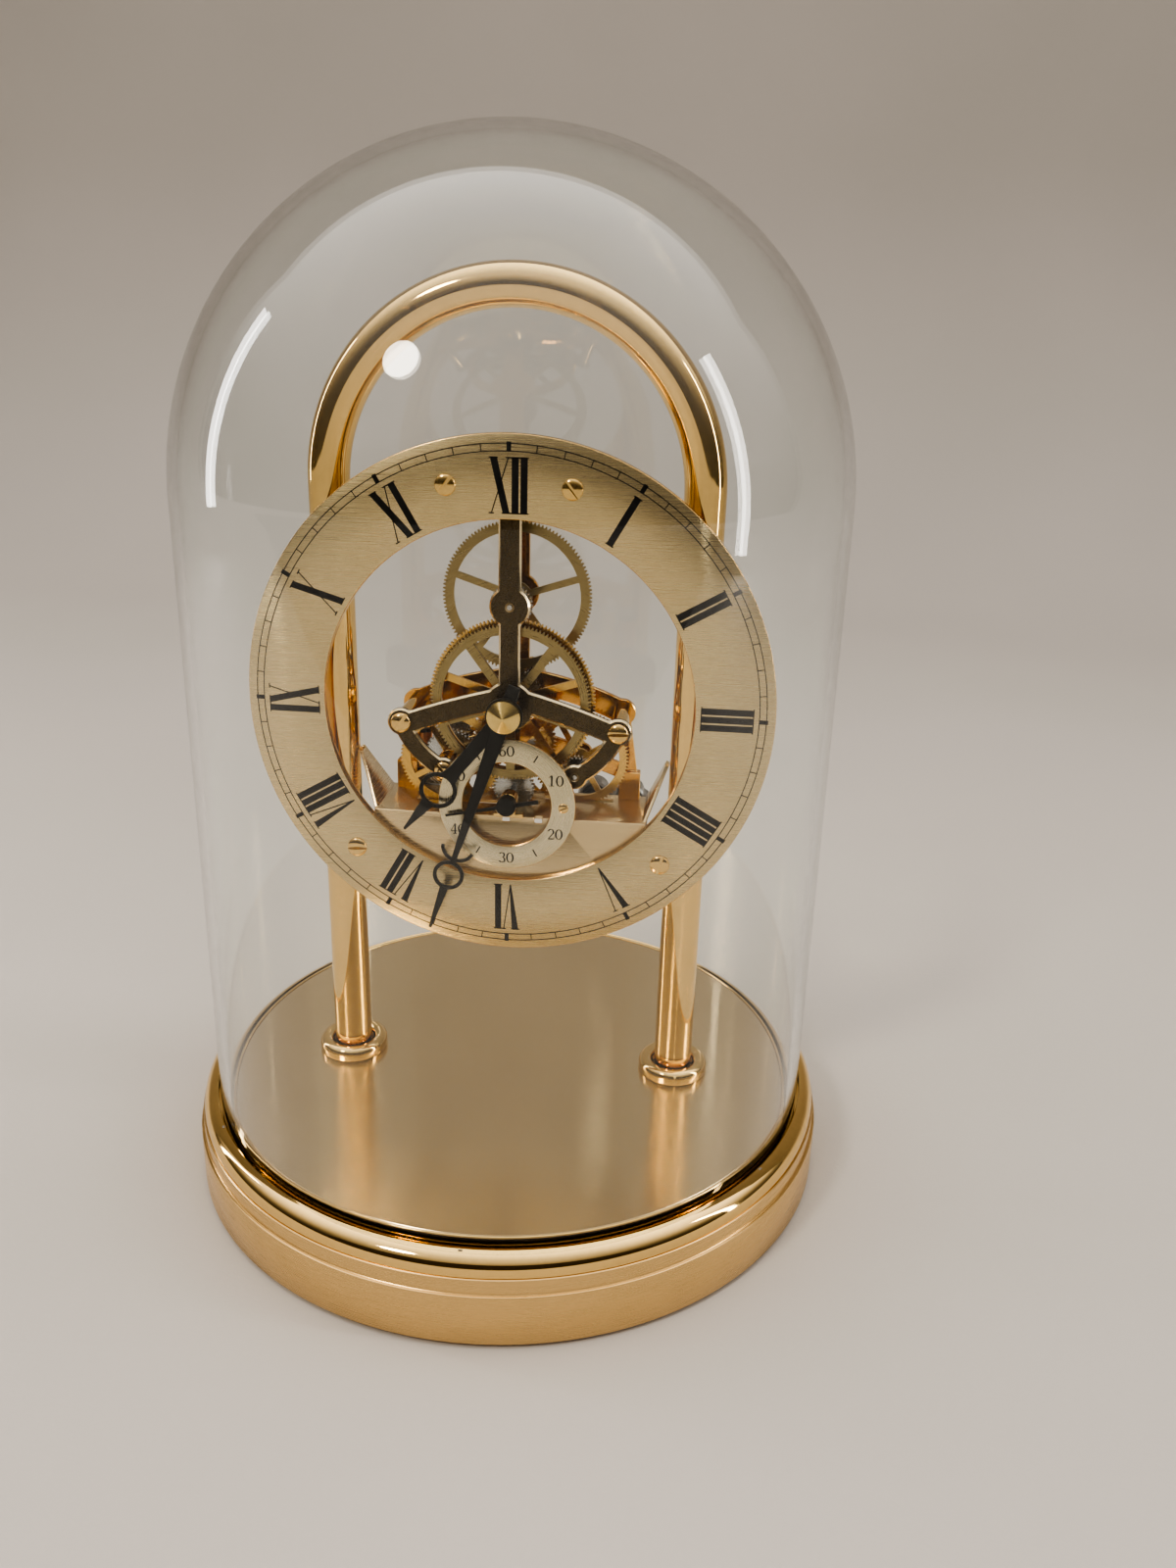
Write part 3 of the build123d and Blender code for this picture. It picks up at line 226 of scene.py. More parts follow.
M = {
    "satin_brass": metal("satin_brass", PALE_GOLD, (0.22, 0.34), turned((0, 0, 0), "Z", 5200, 6.0), 4e-6,
                         40, anisotropy=0.5, tangent=along(0, 0, 1)),
    "deck_brass": metal("deck_brass", (0.72, 0.57, 0.35), (0.20, 0.26), straight(9, 7000, 60), 1.6e-6,
                        30, 0.035, anisotropy=0.7, tangent=along(0, 1, 0)),
    "apron_brass": metal("apron_brass", (0.74, 0.58, 0.35), (0.20, 0.30), straight(12, 60, 5200), 3e-6,
                         45, 0.06, anisotropy=0.5, tangent=along(0, 0, 1)),
    "polished_brass": metal("polished_brass", GOLD, (0.035, 0.08), straight(900, 900, 900), 2e-7, 120, 0.05),
    "dial_champagne": metal("dial_champagne", CHAMPAGNE, (0.24, 0.31), straight(10, 60, 8000), 1.2e-6,
                            45, 0.03, anisotropy=0.6, tangent=along(0, 0, 1)),
    "dial_edge": metal("dial_edge", PALE_GOLD, (0.12, 0.2), turned(DIAL_AT, "Y", 3000), 1e-6, 80, 0.06),
    "seconds_champagne": metal("seconds_champagne", (0.74, 0.65, 0.46), (0.22, 0.32),
                               turned(SECONDS_AT, "Y", 7000, 2.0), 1.5e-6, 60, 0.04, anisotropy=0.6,
                               tangent=out_from("Y")),
    "bronze": metal("bronze", (0.12, 0.088, 0.048), (0.20, 0.36), straight(2600, 2600, 5200), 2.0e-5,
                    200, 0.35),
    # front bridge chamfers: a polished bevel whose colour is lifted far above the plate's, a painted
    # highlight along the edges
    "bronze_edge_painted_highlight": metal("bronze_edge_painted_highlight", (0.80, 0.66, 0.44), (0.12, 0.22), straight(900, 900, 900), 1e-6,
                         200, 0.08),
    "gold_plate": metal("gold_plate", GOLD, (0.07, 0.15), straight(1400, 1400, 1400), 6e-7, 160, 0.08),
    "amber_plate": metal("amber_plate", (0.80, 0.42, 0.12), (0.10, 0.22), straight(1400, 1400, 1400), 1e-6,
                         160, 0.16),
    # a darkened copy of wheel_gold for the wheel that sits in shade: its dark colour is painted shade
    "wheel_bronze": metal("wheel_bronze", (0.40, 0.31, 0.15), (0.24, 0.36), turned(DIAL_AT, "Y", 4200), 3e-6,
                          160, 0.14),
    "wheel_gold": metal("wheel_gold", (0.80, 0.52, 0.18), (0.16, 0.28), turned(DIAL_AT, "Y", 4200), 2e-6,
                        160, 0.12),
    "nut_gold": metal("nut_gold", (0.88, 0.66, 0.28), (0.13, 0.2), turned(DIAL_AT, "Y", 5200, 2.0), 5e-6,
                      160, 0.08,
                      anisotropy=0.8, tangent=out_from("Y")),
    "steel": metal("steel", (0.60, 0.60, 0.59), (0.18, 0.30), turned(DIAL_AT, "Y", 3000), 1e-6, 200, 0.08),
    "copper": metal("copper", (0.75, 0.34, 0.14), (0.25, 0.34), straight(500, 500, 7000), 2e-5, 300, 0.14),
    "magnet": metal("magnet", (0.22, 0.22, 0.23), (0.4, 0.55), straight(3000, 3000, 3000), 6e-6, 300, 0.2),
    "black_hand": dielectric("black_hand", (0.003, 0.003, 0.003), (0.008, 0.008, 0.007), (0.28, 0.42),
                             2600, 1.2e-6,
                             Specular_IOR_Level=0.4),
    "ink": dielectric("ink", (0.004, 0.004, 0.004), (0.010, 0.009, 0.009), (0.45, 0.6), 3000, 1e-6,
                      Specular_IOR_Level=0.25),
    "black_plastic": dielectric("black_plastic", (0.016, 0.016, 0.017), (0.03, 0.03, 0.031), (0.45, 0.62),
                                1800, 8e-6),
    "rubber": dielectric("rubber", (0.02, 0.02, 0.02), (0.04, 0.038, 0.036), (0.7, 0.9), 1500, 1.4e-5),
    "clear_pad": dielectric("clear_pad", (0.16, 0.14, 0.11), (0.26, 0.23, 0.19), (0.3, 0.45), 1500, 5e-6),
    "cell_wrap": dielectric("cell_wrap", (0.03, 0.03, 0.035), (0.06, 0.06, 0.07), (0.2, 0.3),
                            1200, 2e-6, coat=0.5),
    "board": dielectric("board", (0.015, 0.09, 0.045), (0.03, 0.15, 0.07), (0.25, 0.4), 1600, 4e-6, coat=0.4),
    "smoke_plastic": dielectric("smoke_plastic", (0.12, 0.11, 0.10), (0.19, 0.175, 0.16), (0.12, 0.22),
                                900, 1e-6,
                                Transmission_Weight=0.35),
}


def glass_material():
    made, tree, shader = material("glass")
    smudge = noise(tree, place(tree).outputs["Object"], 28.0, 5.0, 0.62)
    tree.links.new(spread(tree, smudge, 0.0, 0.012), shader.inputs["Roughness"])
    tint = shades(tree, smudge, (0.965, 0.985, 0.975), (0.99, 0.998, 0.995))
    tree.links.new(tint, shader.inputs["Base Color"])
    shader.inputs["Transmission Weight"].default_value = 1.0
    shader.inputs["IOR"].default_value = 1.47
    shader.inputs["Specular IOR Level"].default_value = 0.25
    return made


M["glass"] = glass_material()

# ---------------------------------------------------------------- mesh helpers


def finish_piece(name, mesh, body, finishes, replaced=(), smooth_below=30.0):
    """Shades a mesh, gives it its materials, and rides it on its CAD body."""
    for finish in finishes:
        mesh.materials.append(M[finish])
    mesh.shade_smooth()
    mesh.set_sharp_from_angle(angle=radians(smooth_below))
    piece = bpy.data.objects.new(name, mesh)
    collection.objects.link(piece)
    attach(piece, body)
    if replaced:
        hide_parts(*replaced)
    return piece


def lathe_into(bm, profile, centre, axis, segments, finish=0):
    """Adds a closed ring of revolution to bm from (radius, height) points; points on the axis close a cap."""
    rings = []
    for radius, height in profile:
        ring = []
        for k in range(segments if radius > 1e-6 else 1):
            angle = 2 * pi * k / segments
            a, b = radius * cos(angle), radius * sin(angle)
            spot = (a, b, height) if axis == "Z" else (a, height, b)
            ring.append(bm.verts.new([(c + s) * MM for c, s in zip(centre, spot)]))
        rings.append(ring)
    closed = rings[0] is not rings[-1] and len(rings[0]) > 1 and len(rings[-1]) > 1
    pairs = list(zip(rings, rings[1:])) + ([(rings[-1], rings[0])] if closed else [])
    made = []
    for low, high in pairs:
        for k in range(segments):
            n = (k + 1) % segments
            corners = [low[k % len(low)], low[n % len(low)], high[n % len(high)], high[k % len(high)]]
            corners = list(dict.fromkeys(corners))
            if len(corners) > 2:
                made.append(bm.faces.new(corners))
    for face in made:
        face.material_index = finish
    return made


def to_mesh(bm, name):
    bmesh.ops.recalc_face_normals(bm, faces=bm.faces[:])
    mesh = bpy.data.meshes.new(name)
    bm.to_mesh(mesh)
    bm.free()
    return mesh


def lathe(name, profile, body, finish, replaced=(), centres=((0, 0, 0),), axis="Z", segments=256,
          smooth_below=30.0):
    bm = bmesh.new()
    for centre in centres:
        lathe_into(bm, profile, centre, axis, segments)
    return finish_piece(name, to_mesh(bm, name), body, [finish], replaced, smooth_below)


def arc_points(centre, radius, start, end, steps):
    return [(centre[0] + radius * cos(radians(start + (end - start) * k / steps)),
             centre[1] + radius * sin(radians(start + (end - start) * k / steps))) for k in range(steps + 1)]


# ---------------------------------------------------------------- base

lathe("base_shell", [
    (75.5, 1.0), (77.1, 1.0), (77.35, 1.12), (77.5, 1.4), (77.5, 12.95), (77.42, 13.2), (77.2, 13.3),
    (76.95, 13.32), (76.86, 13.4), (76.8, 13.6), (76.8, 16.6), (76.72, 16.86), (76.5, 17.0), (66.0, 17.0),
    (66.0, 15.0), (75.5, 15.0),
], "stand", "satin_brass", ["base_drum"], segments=320)
lathe("base_rim_polished", [
    (69.1, 17.0), (76.2, 17.0), (76.4, 17.15), (76.4, 17.7),
    *arc_points((72.9, 18.0), 3.5, 0, 78, 14),
    (73.2, 21.55), (72.95, 21.4), (72.9, 21.0), (72.9, 18.4), (69.8, 18.4), (69.8, 22.0),
    *arc_points((69.45, 22.3), 0.34, 0, 180, 8),
], "stand", "polished_brass", ["base_rim"], segments=320)
lathe("base_deck_brushed", [(0, 22.4), (68.85, 22.4), (69.0, 22.25), (69.0, 21.0), (0, 21.0)],
      "stand", "deck_brass", ["base_deck"], segments=320)

# ---------------------------------------------------------------- glass dome

GLASS_R, WALL, FOOT, SHOULDER = 72.4, 2.1, 18.7, 162.6
inner_r = GLASS_R - WALL
lathe("dome_glass", [
    (0, SHOULDER + inner_r),
    *arc_points((0, SHOULDER), inner_r, 88.5, 0, 48),
    *[(inner_r, SHOULDER - (SHOULDER - FOOT - 1.0) * k / 24) for k in range(1, 25)],
    *arc_points((GLASS_R - WALL / 2, FOOT + 1.0), WALL / 2, 180, 360, 10)[1:-1],
    *[(GLASS_R, FOOT + 1.0 + (SHOULDER - FOOT - 1.0) * k / 24) for k in range(24)],
    *arc_points((0, SHOULDER), GLASS_R, 0, 88.5, 48),
    (0, SHOULDER + GLASS_R),
], "dome", "glass", ["glass_dome"], segments=320, smooth_below=70.0).visible_shadow = False

# ---------------------------------------------------------------- arch and collars


def tube_mesh(name, centreline, outer, inner, around=56):
    """A hollow tube along points that lie in a plane of constant Y."""
    bm = bmesh.new()
    walls = []
    for radius in (outer, inner):
        rings = []
        for k, (x, y, z) in enumerate(centreline):
            ahead = centreline[min(k + 1, len(centreline) - 1)]
            behind = centreline[max(k - 1, 0)]
            heading = Vector((ahead[0] - behind[0], 0, ahead[2] - behind[2])).normalized()
            side = Vector((heading.z, 0, -heading.x))
            rings.append([bm.verts.new((Vector((x, y, z)) + radius * (
                cos(2 * pi * j / around) * side + sin(2 * pi * j / around) * Vector((0, 1, 0)))) * MM)
                for j in range(around)])
        walls.append(rings)
    for rings in walls:
        for low, high in zip(rings, rings[1:]):
            for j in range(around):
                n = (j + 1) % around
                bm.faces.new((low[j], low[n], high[n], high[j]))
    for end in (0, -1):
        for j in range(around):
            n = (j + 1) % around
            bm.faces.new((walls[0][end][j], walls[0][end][n], walls[1][end][n], walls[1][end][j]))
    return to_mesh(bm, name)


ARCH_R, ARCH_Z, TUBE_Y, TUBE_FOOT = 41.0, 164.0, -2.6, 14.0
leg = [TUBE_FOOT + (ARCH_Z - TUBE_FOOT) * k / 20 for k in range(20)]
arch_line = [(-ARCH_R, TUBE_Y, z) for z in leg]
arch_line += [(x, TUBE_Y, z) for x, z in arc_points((0, ARCH_Z), ARCH_R, 180, 0, 96)]
arch_line += [(ARCH_R, TUBE_Y, z) for z in reversed(leg)]
finish_piece("arch_polished", tube_mesh("arch_polished", arch_line, 4.6, 3.7), "stand",
             ["polished_brass"], ["arch_tube"])
lathe("collars_polished", [
    (4.9, 22.4), (8.15, 22.4), (8.4, 22.5), (8.5, 22.75), *arc_points((6.8, 24.1), 1.7, -14, 196, 30),
    (5.1, 23.0), (4.9, 22.8),
], "stand", "polished_brass", ["tube_collars"],
    centres=((-ARCH_R, TUBE_Y, 0), (ARCH_R, TUBE_Y, 0)), segments=96)

# ---------------------------------------------------------------- dial and seconds ring


def ring_dial(name, centre, outer, inner, front, back, edge, body, finishes, replaced, segments):
    """A flat ring facing -Y with softened edges: its face and its edges have their own finishes."""
    bm = bmesh.new()
    lathe_into(bm, [(outer, back), (outer, front + edge), (outer - edge * 0.3, front + edge * 0.3),
                    (outer - edge, front), (inner + edge, front), (inner + edge * 0.3, front + edge * 0.3),
                    (inner, front + edge), (inner, back)], centre, "Y", segments, 1)
    for face in bm.faces:
        if abs(face.calc_center_median().y - front * MM) < 1e-7:
            face.material_index = 0
    return finish_piece(name, to_mesh(bm, name), body, finishes, replaced, 50.0)


ring_dial("dial_face", (0, 0, 117.3), 59.0, 41.4, -12.0, -10.0, 0.22, "stand",
          ["dial_champagne", "dial_edge"], ["dial_ring"], 320)
ring_dial("seconds_face", (0, 0, 94.95), 15.7, 10.2, -13.0, -12.2, 0.12, "stand",
          ["seconds_champagne", "dial_edge"], ["seconds_dial"], 160)

# ---------------------------------------------------------------- printing


class Print:
    """Thin printed marks on a dial face, drawn in (x, z) about the dial's centre, in millimetres."""

    def __init__(self, centre_z, face_y, thick=0.03):
        self.bm = bmesh.new()
        self.centre_z, self.face_y, self.thick = centre_z, face_y, thick

    def shape(self, points):
        """One convex polygon, as a thin solid."""
        front, back = self.face_y - self.thick, self.face_y + 0.002
        rows = [[self.bm.verts.new((x * MM, y * MM, (self.centre_z + z) * MM)) for x, z in points]
                for y in (front, back)]
        self.bm.faces.new(rows[0])
        self.bm.faces.new(rows[1][::-1])
        for k in range(len(points)):
            n = (k + 1) % len(points)
            self.bm.faces.new((rows[0][k], rows[1][k], rows[1][n], rows[0][n]))

    def ring(self, radius, width, segments=256):
        for k in range(segments):
            a, b = 2 * pi * k / segments, 2 * pi * (k + 1) / segments
            inner, outer = radius - width / 2, radius + width / 2
            corners = ((inner, a), (outer, a), (outer, b), (inner, b))
            self.shape([(r * sin(t), r * cos(t)) for r, t in corners])

    def spoke(self, turn, inner, outer, width):
        """A radial bar at a clockwise angle from 12 o'clock."""
        out, across = (sin(turn), cos(turn)), (cos(turn), -sin(turn))
        self.shape([(out[0] * r + across[0] * s, out[1] * r + across[1] * s) for r, s in (
            (inner, -width / 2), (outer, -width / 2), (outer, width / 2), (inner, width / 2))])

    def stroke(self, points, origin=(0, 0), size=1.0):
        """A pen stroke through (x, z, width) points."""
        for (x0, z0, w0), (x1, z1, w1) in zip(points, points[1:]):
            dx, dz = x1 - x0, z1 - z0
            length = hypot(dx, dz) or 1.0
            nx, nz = -dz / length / 2, dx / length / 2
            self.shape([(origin[0] + size * x, origin[1] + size * z) for x, z in (
                (x0 + nx * w0, z0 + nz * w0), (x1 + nx * w1, z1 + nz * w1),
                (x1 - nx * w1, z1 - nz * w1), (x0 - nx * w0, z0 - nz * w0))])

    def piece(self, name, body="stand", slot="dial_champagne"):
        return finish_piece(name, to_mesh(self.bm, name), body, ["ink"])


NUMERAL_IN, NUMERAL_OUT = 42.6, 54.2
TRACK_IN, TRACK_OUT, TRACK_LINE = 55.4, 56.95, 0.2
HOUR_MARK_OUT, HOUR_MARK_WIDTH = 57.3, 0.95
BAR, HAIR, GAP = 1.46, 0.24, 0.40
LETTER_WIDTH = {"I": BAR, "V": 3.7, "X": 4.2}
NUMERALS = ["XII", "I", "II", "III", "IIII", "V", "VI", "VII", "VIII", "IX", "X", "XI"]


def numeral_outlines(text):
    """Outlines of a numeral, upright, as (across, up) points with up from 0 to 1."""
    total = sum(LETTER_WIDTH[c] for c in text) + GAP * (len(text) - 1)
    left = -total / 2
    shapes = []

    def stroke(bottom, top, width):
        half = width / 2
        shapes.append([(bottom - half, 0), (top - half, 1), (top + half, 1), (bottom + half, 0)])

    def serif(middle, level, reach):
        low, high = (0, 0.022) if level == 0 else (0.978, 1)
        left_end, right_end = middle - reach, middle + reach
        shapes.append([(left_end, low), (left_end, high), (right_end, high), (right_end, low)])

    for letter in text:
        width = LETTER_WIDTH[letter]
        middle = left + width / 2
        if letter == "I":
            stroke(middle, middle, BAR)
            serif(middle, 0, BAR / 2 + 0.28)
            serif(middle, 1, BAR / 2 + 0.28)
        elif letter == "V":
            shapes.append([(middle - 0.05, 0), (left, 1), (left + BAR * 1.06, 1), (middle + 0.28, 0.06),
                           (middle + 0.12, 0)])
            stroke(middle + 0.1, left + width - 0.2, HAIR)
            serif(left + BAR / 2, 1, BAR / 2 + 0.3)
            serif(left + width - 0.2, 1, 0.55)
        else:
            stroke(left + width - BAR / 2, left + BAR / 2, BAR)
            stroke(left + 0.3, left + width - 0.3, HAIR)
            for side, level, reach in ((left + BAR / 2, 1, 0.95), (left + width - BAR / 2, 0, 0.95),
                                       (left + width - 0.3, 1, 0.55), (left + 0.3, 0, 0.55)):
                serif(side, level, reach)
        left += width + GAP
    return shapes


face_print = Print(117.3, -12.0)
face_print.ring(TRACK_IN, TRACK_LINE)
face_print.ring(TRACK_OUT, TRACK_LINE)
for minute in range(60):
    if minute % 5:
        face_print.spoke(radians(6 * minute), TRACK_IN, TRACK_OUT, TRACK_LINE)
    else:
        face_print.spoke(radians(6 * minute), TRACK_IN, HOUR_MARK_OUT, HOUR_MARK_WIDTH)
for hour, text in enumerate(NUMERALS):
    turn = radians(30 * hour)
    out, across = (sin(turn), cos(turn)), (cos(turn), -sin(turn))
    for outline in numeral_outlines(text):
        points = []
        for u, v in outline:
            radial = NUMERAL_IN + (NUMERAL_OUT - NUMERAL_IN) * v
            points.append((out[0] * radial + across[0] * u, out[1] * radial + across[1] * u))
        face_print.shape(points)
face_print.piece("dial_numerals")


def bowl(cx, cz, rx, rz, start, end, thick, thin, steps=20):
    """A curved pen stroke, thick at its sides and thin at its top and bottom."""
    made = []
    for k in range(steps + 1):
        angle = radians(start + (end - start) * k / steps)
        width = thin + (thick - thin) * abs(cos(angle)) ** 1.5
        made.append((cx + rx * cos(angle), cz + rz * sin(angle), width))
    return made


DIGITS = {
    "0": [bowl(0.32, 0.5, 0.27, 0.46, 0, 360, 0.15, 0.05, 28)],
    "1": [[(0.3, 0.0, 0.14), (0.3, 0.98, 0.14)], [(0.08, 0.78, 0.05), (0.3, 0.97, 0.08)],
          [(0.08, 0.025, 0.05), (0.52, 0.025, 0.05)]],
    "2": [bowl(0.3, 0.7, 0.23, 0.26, 165, -40, 0.14, 0.05), [(0.47, 0.53, 0.1), (0.07, 0.05, 0.05)],
          [(0.06, 0.05, 0.1), (0.56, 0.05, 0.1)], [(0.56, 0.05, 0.05), (0.58, 0.22, 0.05)]],
    "3": [bowl(0.28, 0.74, 0.21, 0.22, 155, -85, 0.14, 0.05),
          bowl(0.28, 0.27, 0.25, 0.25, 85, -155, 0.15, 0.05)],
    "4": [[(0.42, 0.0, 0.14), (0.42, 0.98, 0.14)], [(0.4, 0.96, 0.05), (0.04, 0.3, 0.05)],
          [(0.03, 0.28, 0.06), (0.6, 0.28, 0.06)], [(0.26, 0.025, 0.05), (0.58, 0.025, 0.05)]],
    "5": [[(0.14, 0.95, 0.05), (0.11, 0.52, 0.05)], [(0.13, 0.93, 0.11), (0.52, 0.93, 0.11)],
          bowl(0.28, 0.31, 0.25, 0.28, 130, -150, 0.15, 0.05)],
    "6": [bowl(0.31, 0.3, 0.24, 0.27, 0, 360, 0.14, 0.05, 24),
          bowl(0.5, 0.36, 0.42, 0.6, 180, 95, 0.13, 0.06)],
}
seconds_print = Print(94.95, -13.0)
DIGIT_SIZE, DIGIT_STEP, DIGIT_RADIUS = 2.6, 0.68, 12.95
for value, angle in (("60", 0), ("10", 60), ("20", 120), ("30", 180), ("40", 240), ("50", 300)):
    turn = radians(angle)
    for place_in_number, digit in enumerate(value):
        corner = (DIGIT_RADIUS * sin(turn) + DIGIT_SIZE * DIGIT_STEP * (place_in_number - 1),
                  DIGIT_RADIUS * cos(turn) - DIGIT_SIZE / 2)
        for points in DIGITS[digit]:
            seconds_print.stroke(points, corner, DIGIT_SIZE)
for second in (5, 25, 35, 45, 55):
    seconds_print.spoke(radians(6 * second), 12.2, 14.1, 0.3)
seconds_print.piece("seconds_numerals")

# ---------------------------------------------------------------- CAD pieces with softened edges


def softened(node_name, width, finish, edge_finish=None, smooth_below=28.0):
    """A copy of a CAD node with small chamfers on its sharp edges; returns its object."""
    bm = bmesh.new()
    bm.from_mesh(nodes[node_name].data)
    bmesh.ops.remove_doubles(bm, verts=bm.verts[:], dist=2e-6)
    bmesh.ops.dissolve_limit(bm, angle_limit=radians(0.6), verts=bm.verts[:], edges=bm.edges[:])
    sharp = [e for e in bm.edges if len(e.link_faces) == 2 and e.calc_face_angle(0) > radians(50)]
    bmesh.ops.bevel(bm, geom=sharp, offset=width * MM, offset_type="OFFSET", segments=1, profile=0.5,
                    affect="EDGES", clamp_overlap=False, material=1 if edge_finish else -1)
    finishes = [finish] + ([edge_finish] if edge_finish else [])
    name = node_name + "_softened"
    body = nodes[node_name]["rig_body"]
    return finish_piece(name, to_mesh(bm, name), body, finishes, [node_name], smooth_below)


SOFTENED = {
    # the front bridge's lighter chamfer colour is a painted highlight along its edges
    "front_bridge": (0.42, "bronze", "bronze_edge_painted_highlight"),
    "movement_shelf": (0.10, "gold_plate", "polished_brass"),
    "rear_plate": (0.14, "amber_plate", "gold_plate"),
    "train_bridge": (0.10, "amber_plate", "gold_plate"),
    "motor_bridge": (0.12, "gold_plate", None),
    "dial_brackets": (0.18, "polished_brass", None),
    "minute_hand": (0.10, "black_hand", None),
    "hour_hand": (0.10, "black_hand", None),
    "seconds_dial_brackets": (0.10, "gold_plate", None),
    "seconds_bearing": (0.10, "gold_plate", None),
    "circuit_covers": (0.45, "smoke_plastic", None),
}
soft_pieces = {name: softened(name, *choice) for name, choice in SOFTENED.items()}

# the shelf's apron hangs below its polished top and is brushed satin
shelf = soft_pieces["movement_shelf"]
shelf.data.materials.append(M["apron_brass"])
SHELF_THICK, APRON_FINISH = 0.8, 2
apron_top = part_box("movement_shelf")[1][2] - SHELF_THICK * MM
cut = bmesh.new()
cut.from_mesh(shelf.data)
bmesh.ops.bisect_plane(cut, geom=cut.verts[:] + cut.edges[:] + cut.faces[:], plane_co=(0, 0, apron_top),
                       plane_no=(0, 0, 1))
for face in cut.faces:
    if face.calc_center_median().z < apron_top - 1e-5:
        face.material_index = APRON_FINISH
cut.to_mesh(shelf.data)
cut.free()

# ---------------------------------------------------------------- screw heads


def screws(name, heads, body, replaced, finish="gold_plate"):
    """Domed heads with a cut slot, and their shanks, from (x, z, seat y, radius, height, tip y) rows.

    A head whose height is negative faces the front.
    """
    bm = bmesh.new()
    for number, (x, z, seat, radius, height, tip) in enumerate(heads):
        head = bmesh.new()
        crown = [(radius * cos(radians(t)), height * (0.3 + 0.7 * sin(radians(t)))) for t in range(0, 90, 9)]
        profile = [(0, 0), (radius * 0.97, 0), (radius, height * 0.08), *crown, (0, height)]
        lathe_into(head, profile, (0, 0, 0), "Y", 48)
        half_slot, floor = radius * 0.16 * MM, height * 0.15 * MM
        for side in (-1, 1):
            bmesh.ops.bisect_plane(head, geom=head.verts[:] + head.edges[:] + head.faces[:],
                                   plane_co=(side * half_slot, 0, 0), plane_no=(1, 0, 0))
        middles = [(f, f.calc_center_median()) for f in head.faces]
        trench = [f for f, at in middles if abs(at.x) < half_slot and abs(at.y) > abs(floor) * 0.3]
        sunk = bmesh.ops.extrude_face_region(head, geom=trench)["geom"]
        bmesh.ops.delete(head, geom=[f for f in trench if f.is_valid], context="FACES")
        for vert in sunk:
            if isinstance(vert, bmesh.types.BMVert) and abs(vert.co.y) > abs(floor):
                vert.co.y = floor
        bmesh.ops.remove_doubles(head, verts=head.verts[:], dist=1e-6)
        bmesh.ops.dissolve_degenerate(head, edges=head.edges[:], dist=1e-7)
        turn = Matrix.Rotation(radians(35 + 53 * number), 4, "Y")
        placed = Matrix.Translation((x * MM, seat * MM, z * MM)) @ turn
        bmesh.ops.transform(head, matrix=placed, verts=head.verts[:])
        bmesh.ops.recalc_face_normals(head, faces=head.faces[:])
        joined = bpy.data.meshes.new(name + "_head")
        head.to_mesh(joined)
        head.free()
        bm.from_mesh(joined)
        bpy.data.meshes.remove(joined)
        shank = radius * 0.45
        lathe_into(bm, [(0, seat), (shank, seat), (shank, tip), (0, tip)], (x, 0, z), "Y", 32)
    return finish_piece(name, to_mesh(bm, name), body, [finish], replaced, 40.0)


def low_high(node_name):
    low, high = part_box(node_name)
    return Vector(low) / MM, Vector(high) / MM


bridge_low, bridge_high = low_high("front_bridge")
dial_front, ring_front = low_high("dial_ring")[0].y, low_high("seconds_dial")[0].y
plate_back = low_high("rear_plate")[1].y
screws("dial_screws_domed", [
    *[(side * x, z, dial_front, 2.25, -0.95, bridge_high.y + 0.3)
      for side in (-1, 1) for x, z in ((13.4, 165.4), (35.3, 82.0))],
    (12.95, 94.95, ring_front, 1.15, -0.5, -11.4),
], "stand", ["dial_screws"])
screws("bridge_screws_domed", [
    *[(side * 24.6, 112.4, bridge_low.y, 2.35, -1.45, bridge_high.y + 4) for side in (-1, 1)],
    (-15.05, 101.4, bridge_low.y, 2.1, -0.95, bridge_high.y + 3.5),
    *[(x, z, plate_back, 2.3, 1.3, 3.0) for x, z in ((-24.6, 112.4), (24.6, 112.4), (0, 162.4))],
], "stand", ["bridge_screws"])

# ---------------------------------------------------------------- finishes of the CAD nodes that stay

FINISH_BY_NODE = {"hand_nut": "nut_gold"}
for name, cad_node in nodes.items():
    cad_node.data.materials.clear()
    cad_node.data.materials.append(M[FINISH_BY_NODE.get(name, slots[name])])

# ---------------------------------------------------------------- floor, backdrop and light


def stage_material():
    made, tree, shader = material("stage")
    cloth = noise(tree, place(tree).outputs["Object"], 900.0, 4.0, 0.6)
    broad = noise(tree, place(tree).outputs["Object"], 3.0, 2.0)
    tree.links.new(shades(tree, broad, (0.56, 0.525, 0.485), (0.60, 0.56, 0.52)), shader.inputs["Base Color"])
    tree.links.new(spread(tree, cloth, 0.75, 0.9), shader.inputs["Roughness"])
    bump = node(tree, "ShaderNodeBump", {"Height": cloth, "Strength": 0.3, "Distance": 0.0002})
    tree.links.new(bump.outputs[0], shader.inputs["Normal"])
    return made


def backdrop():
    """A floor that curves up into a wall behind the clock."""
    bm = bmesh.new()
    half, front, back, bend, top = 2.6, -2.6, 0.62, 0.35, 2.2
    curve = [(back + bend * sin(radians(a)), bend * (1 - cos(radians(a)))) for a in range(0, 91, 6)]
    line = [(front, 0.0), *curve, (back + bend, top)]
    rows = [[bm.verts.new((x, y, z)) for x in (-half, half)] for y, z in line]
    for low, high in zip(rows, rows[1:]):
        bm.faces.new((low[0], low[1], high[1], high[0]))
    mesh = bpy.data.meshes.new("backdrop")
    bm.to_mesh(mesh)
    bm.free()
    mesh.materials.append(stage_material())
    mesh.shade_smooth()
    piece = bpy.data.objects.new("backdrop", mesh)
    collection.objects.link(piece)


backdrop()


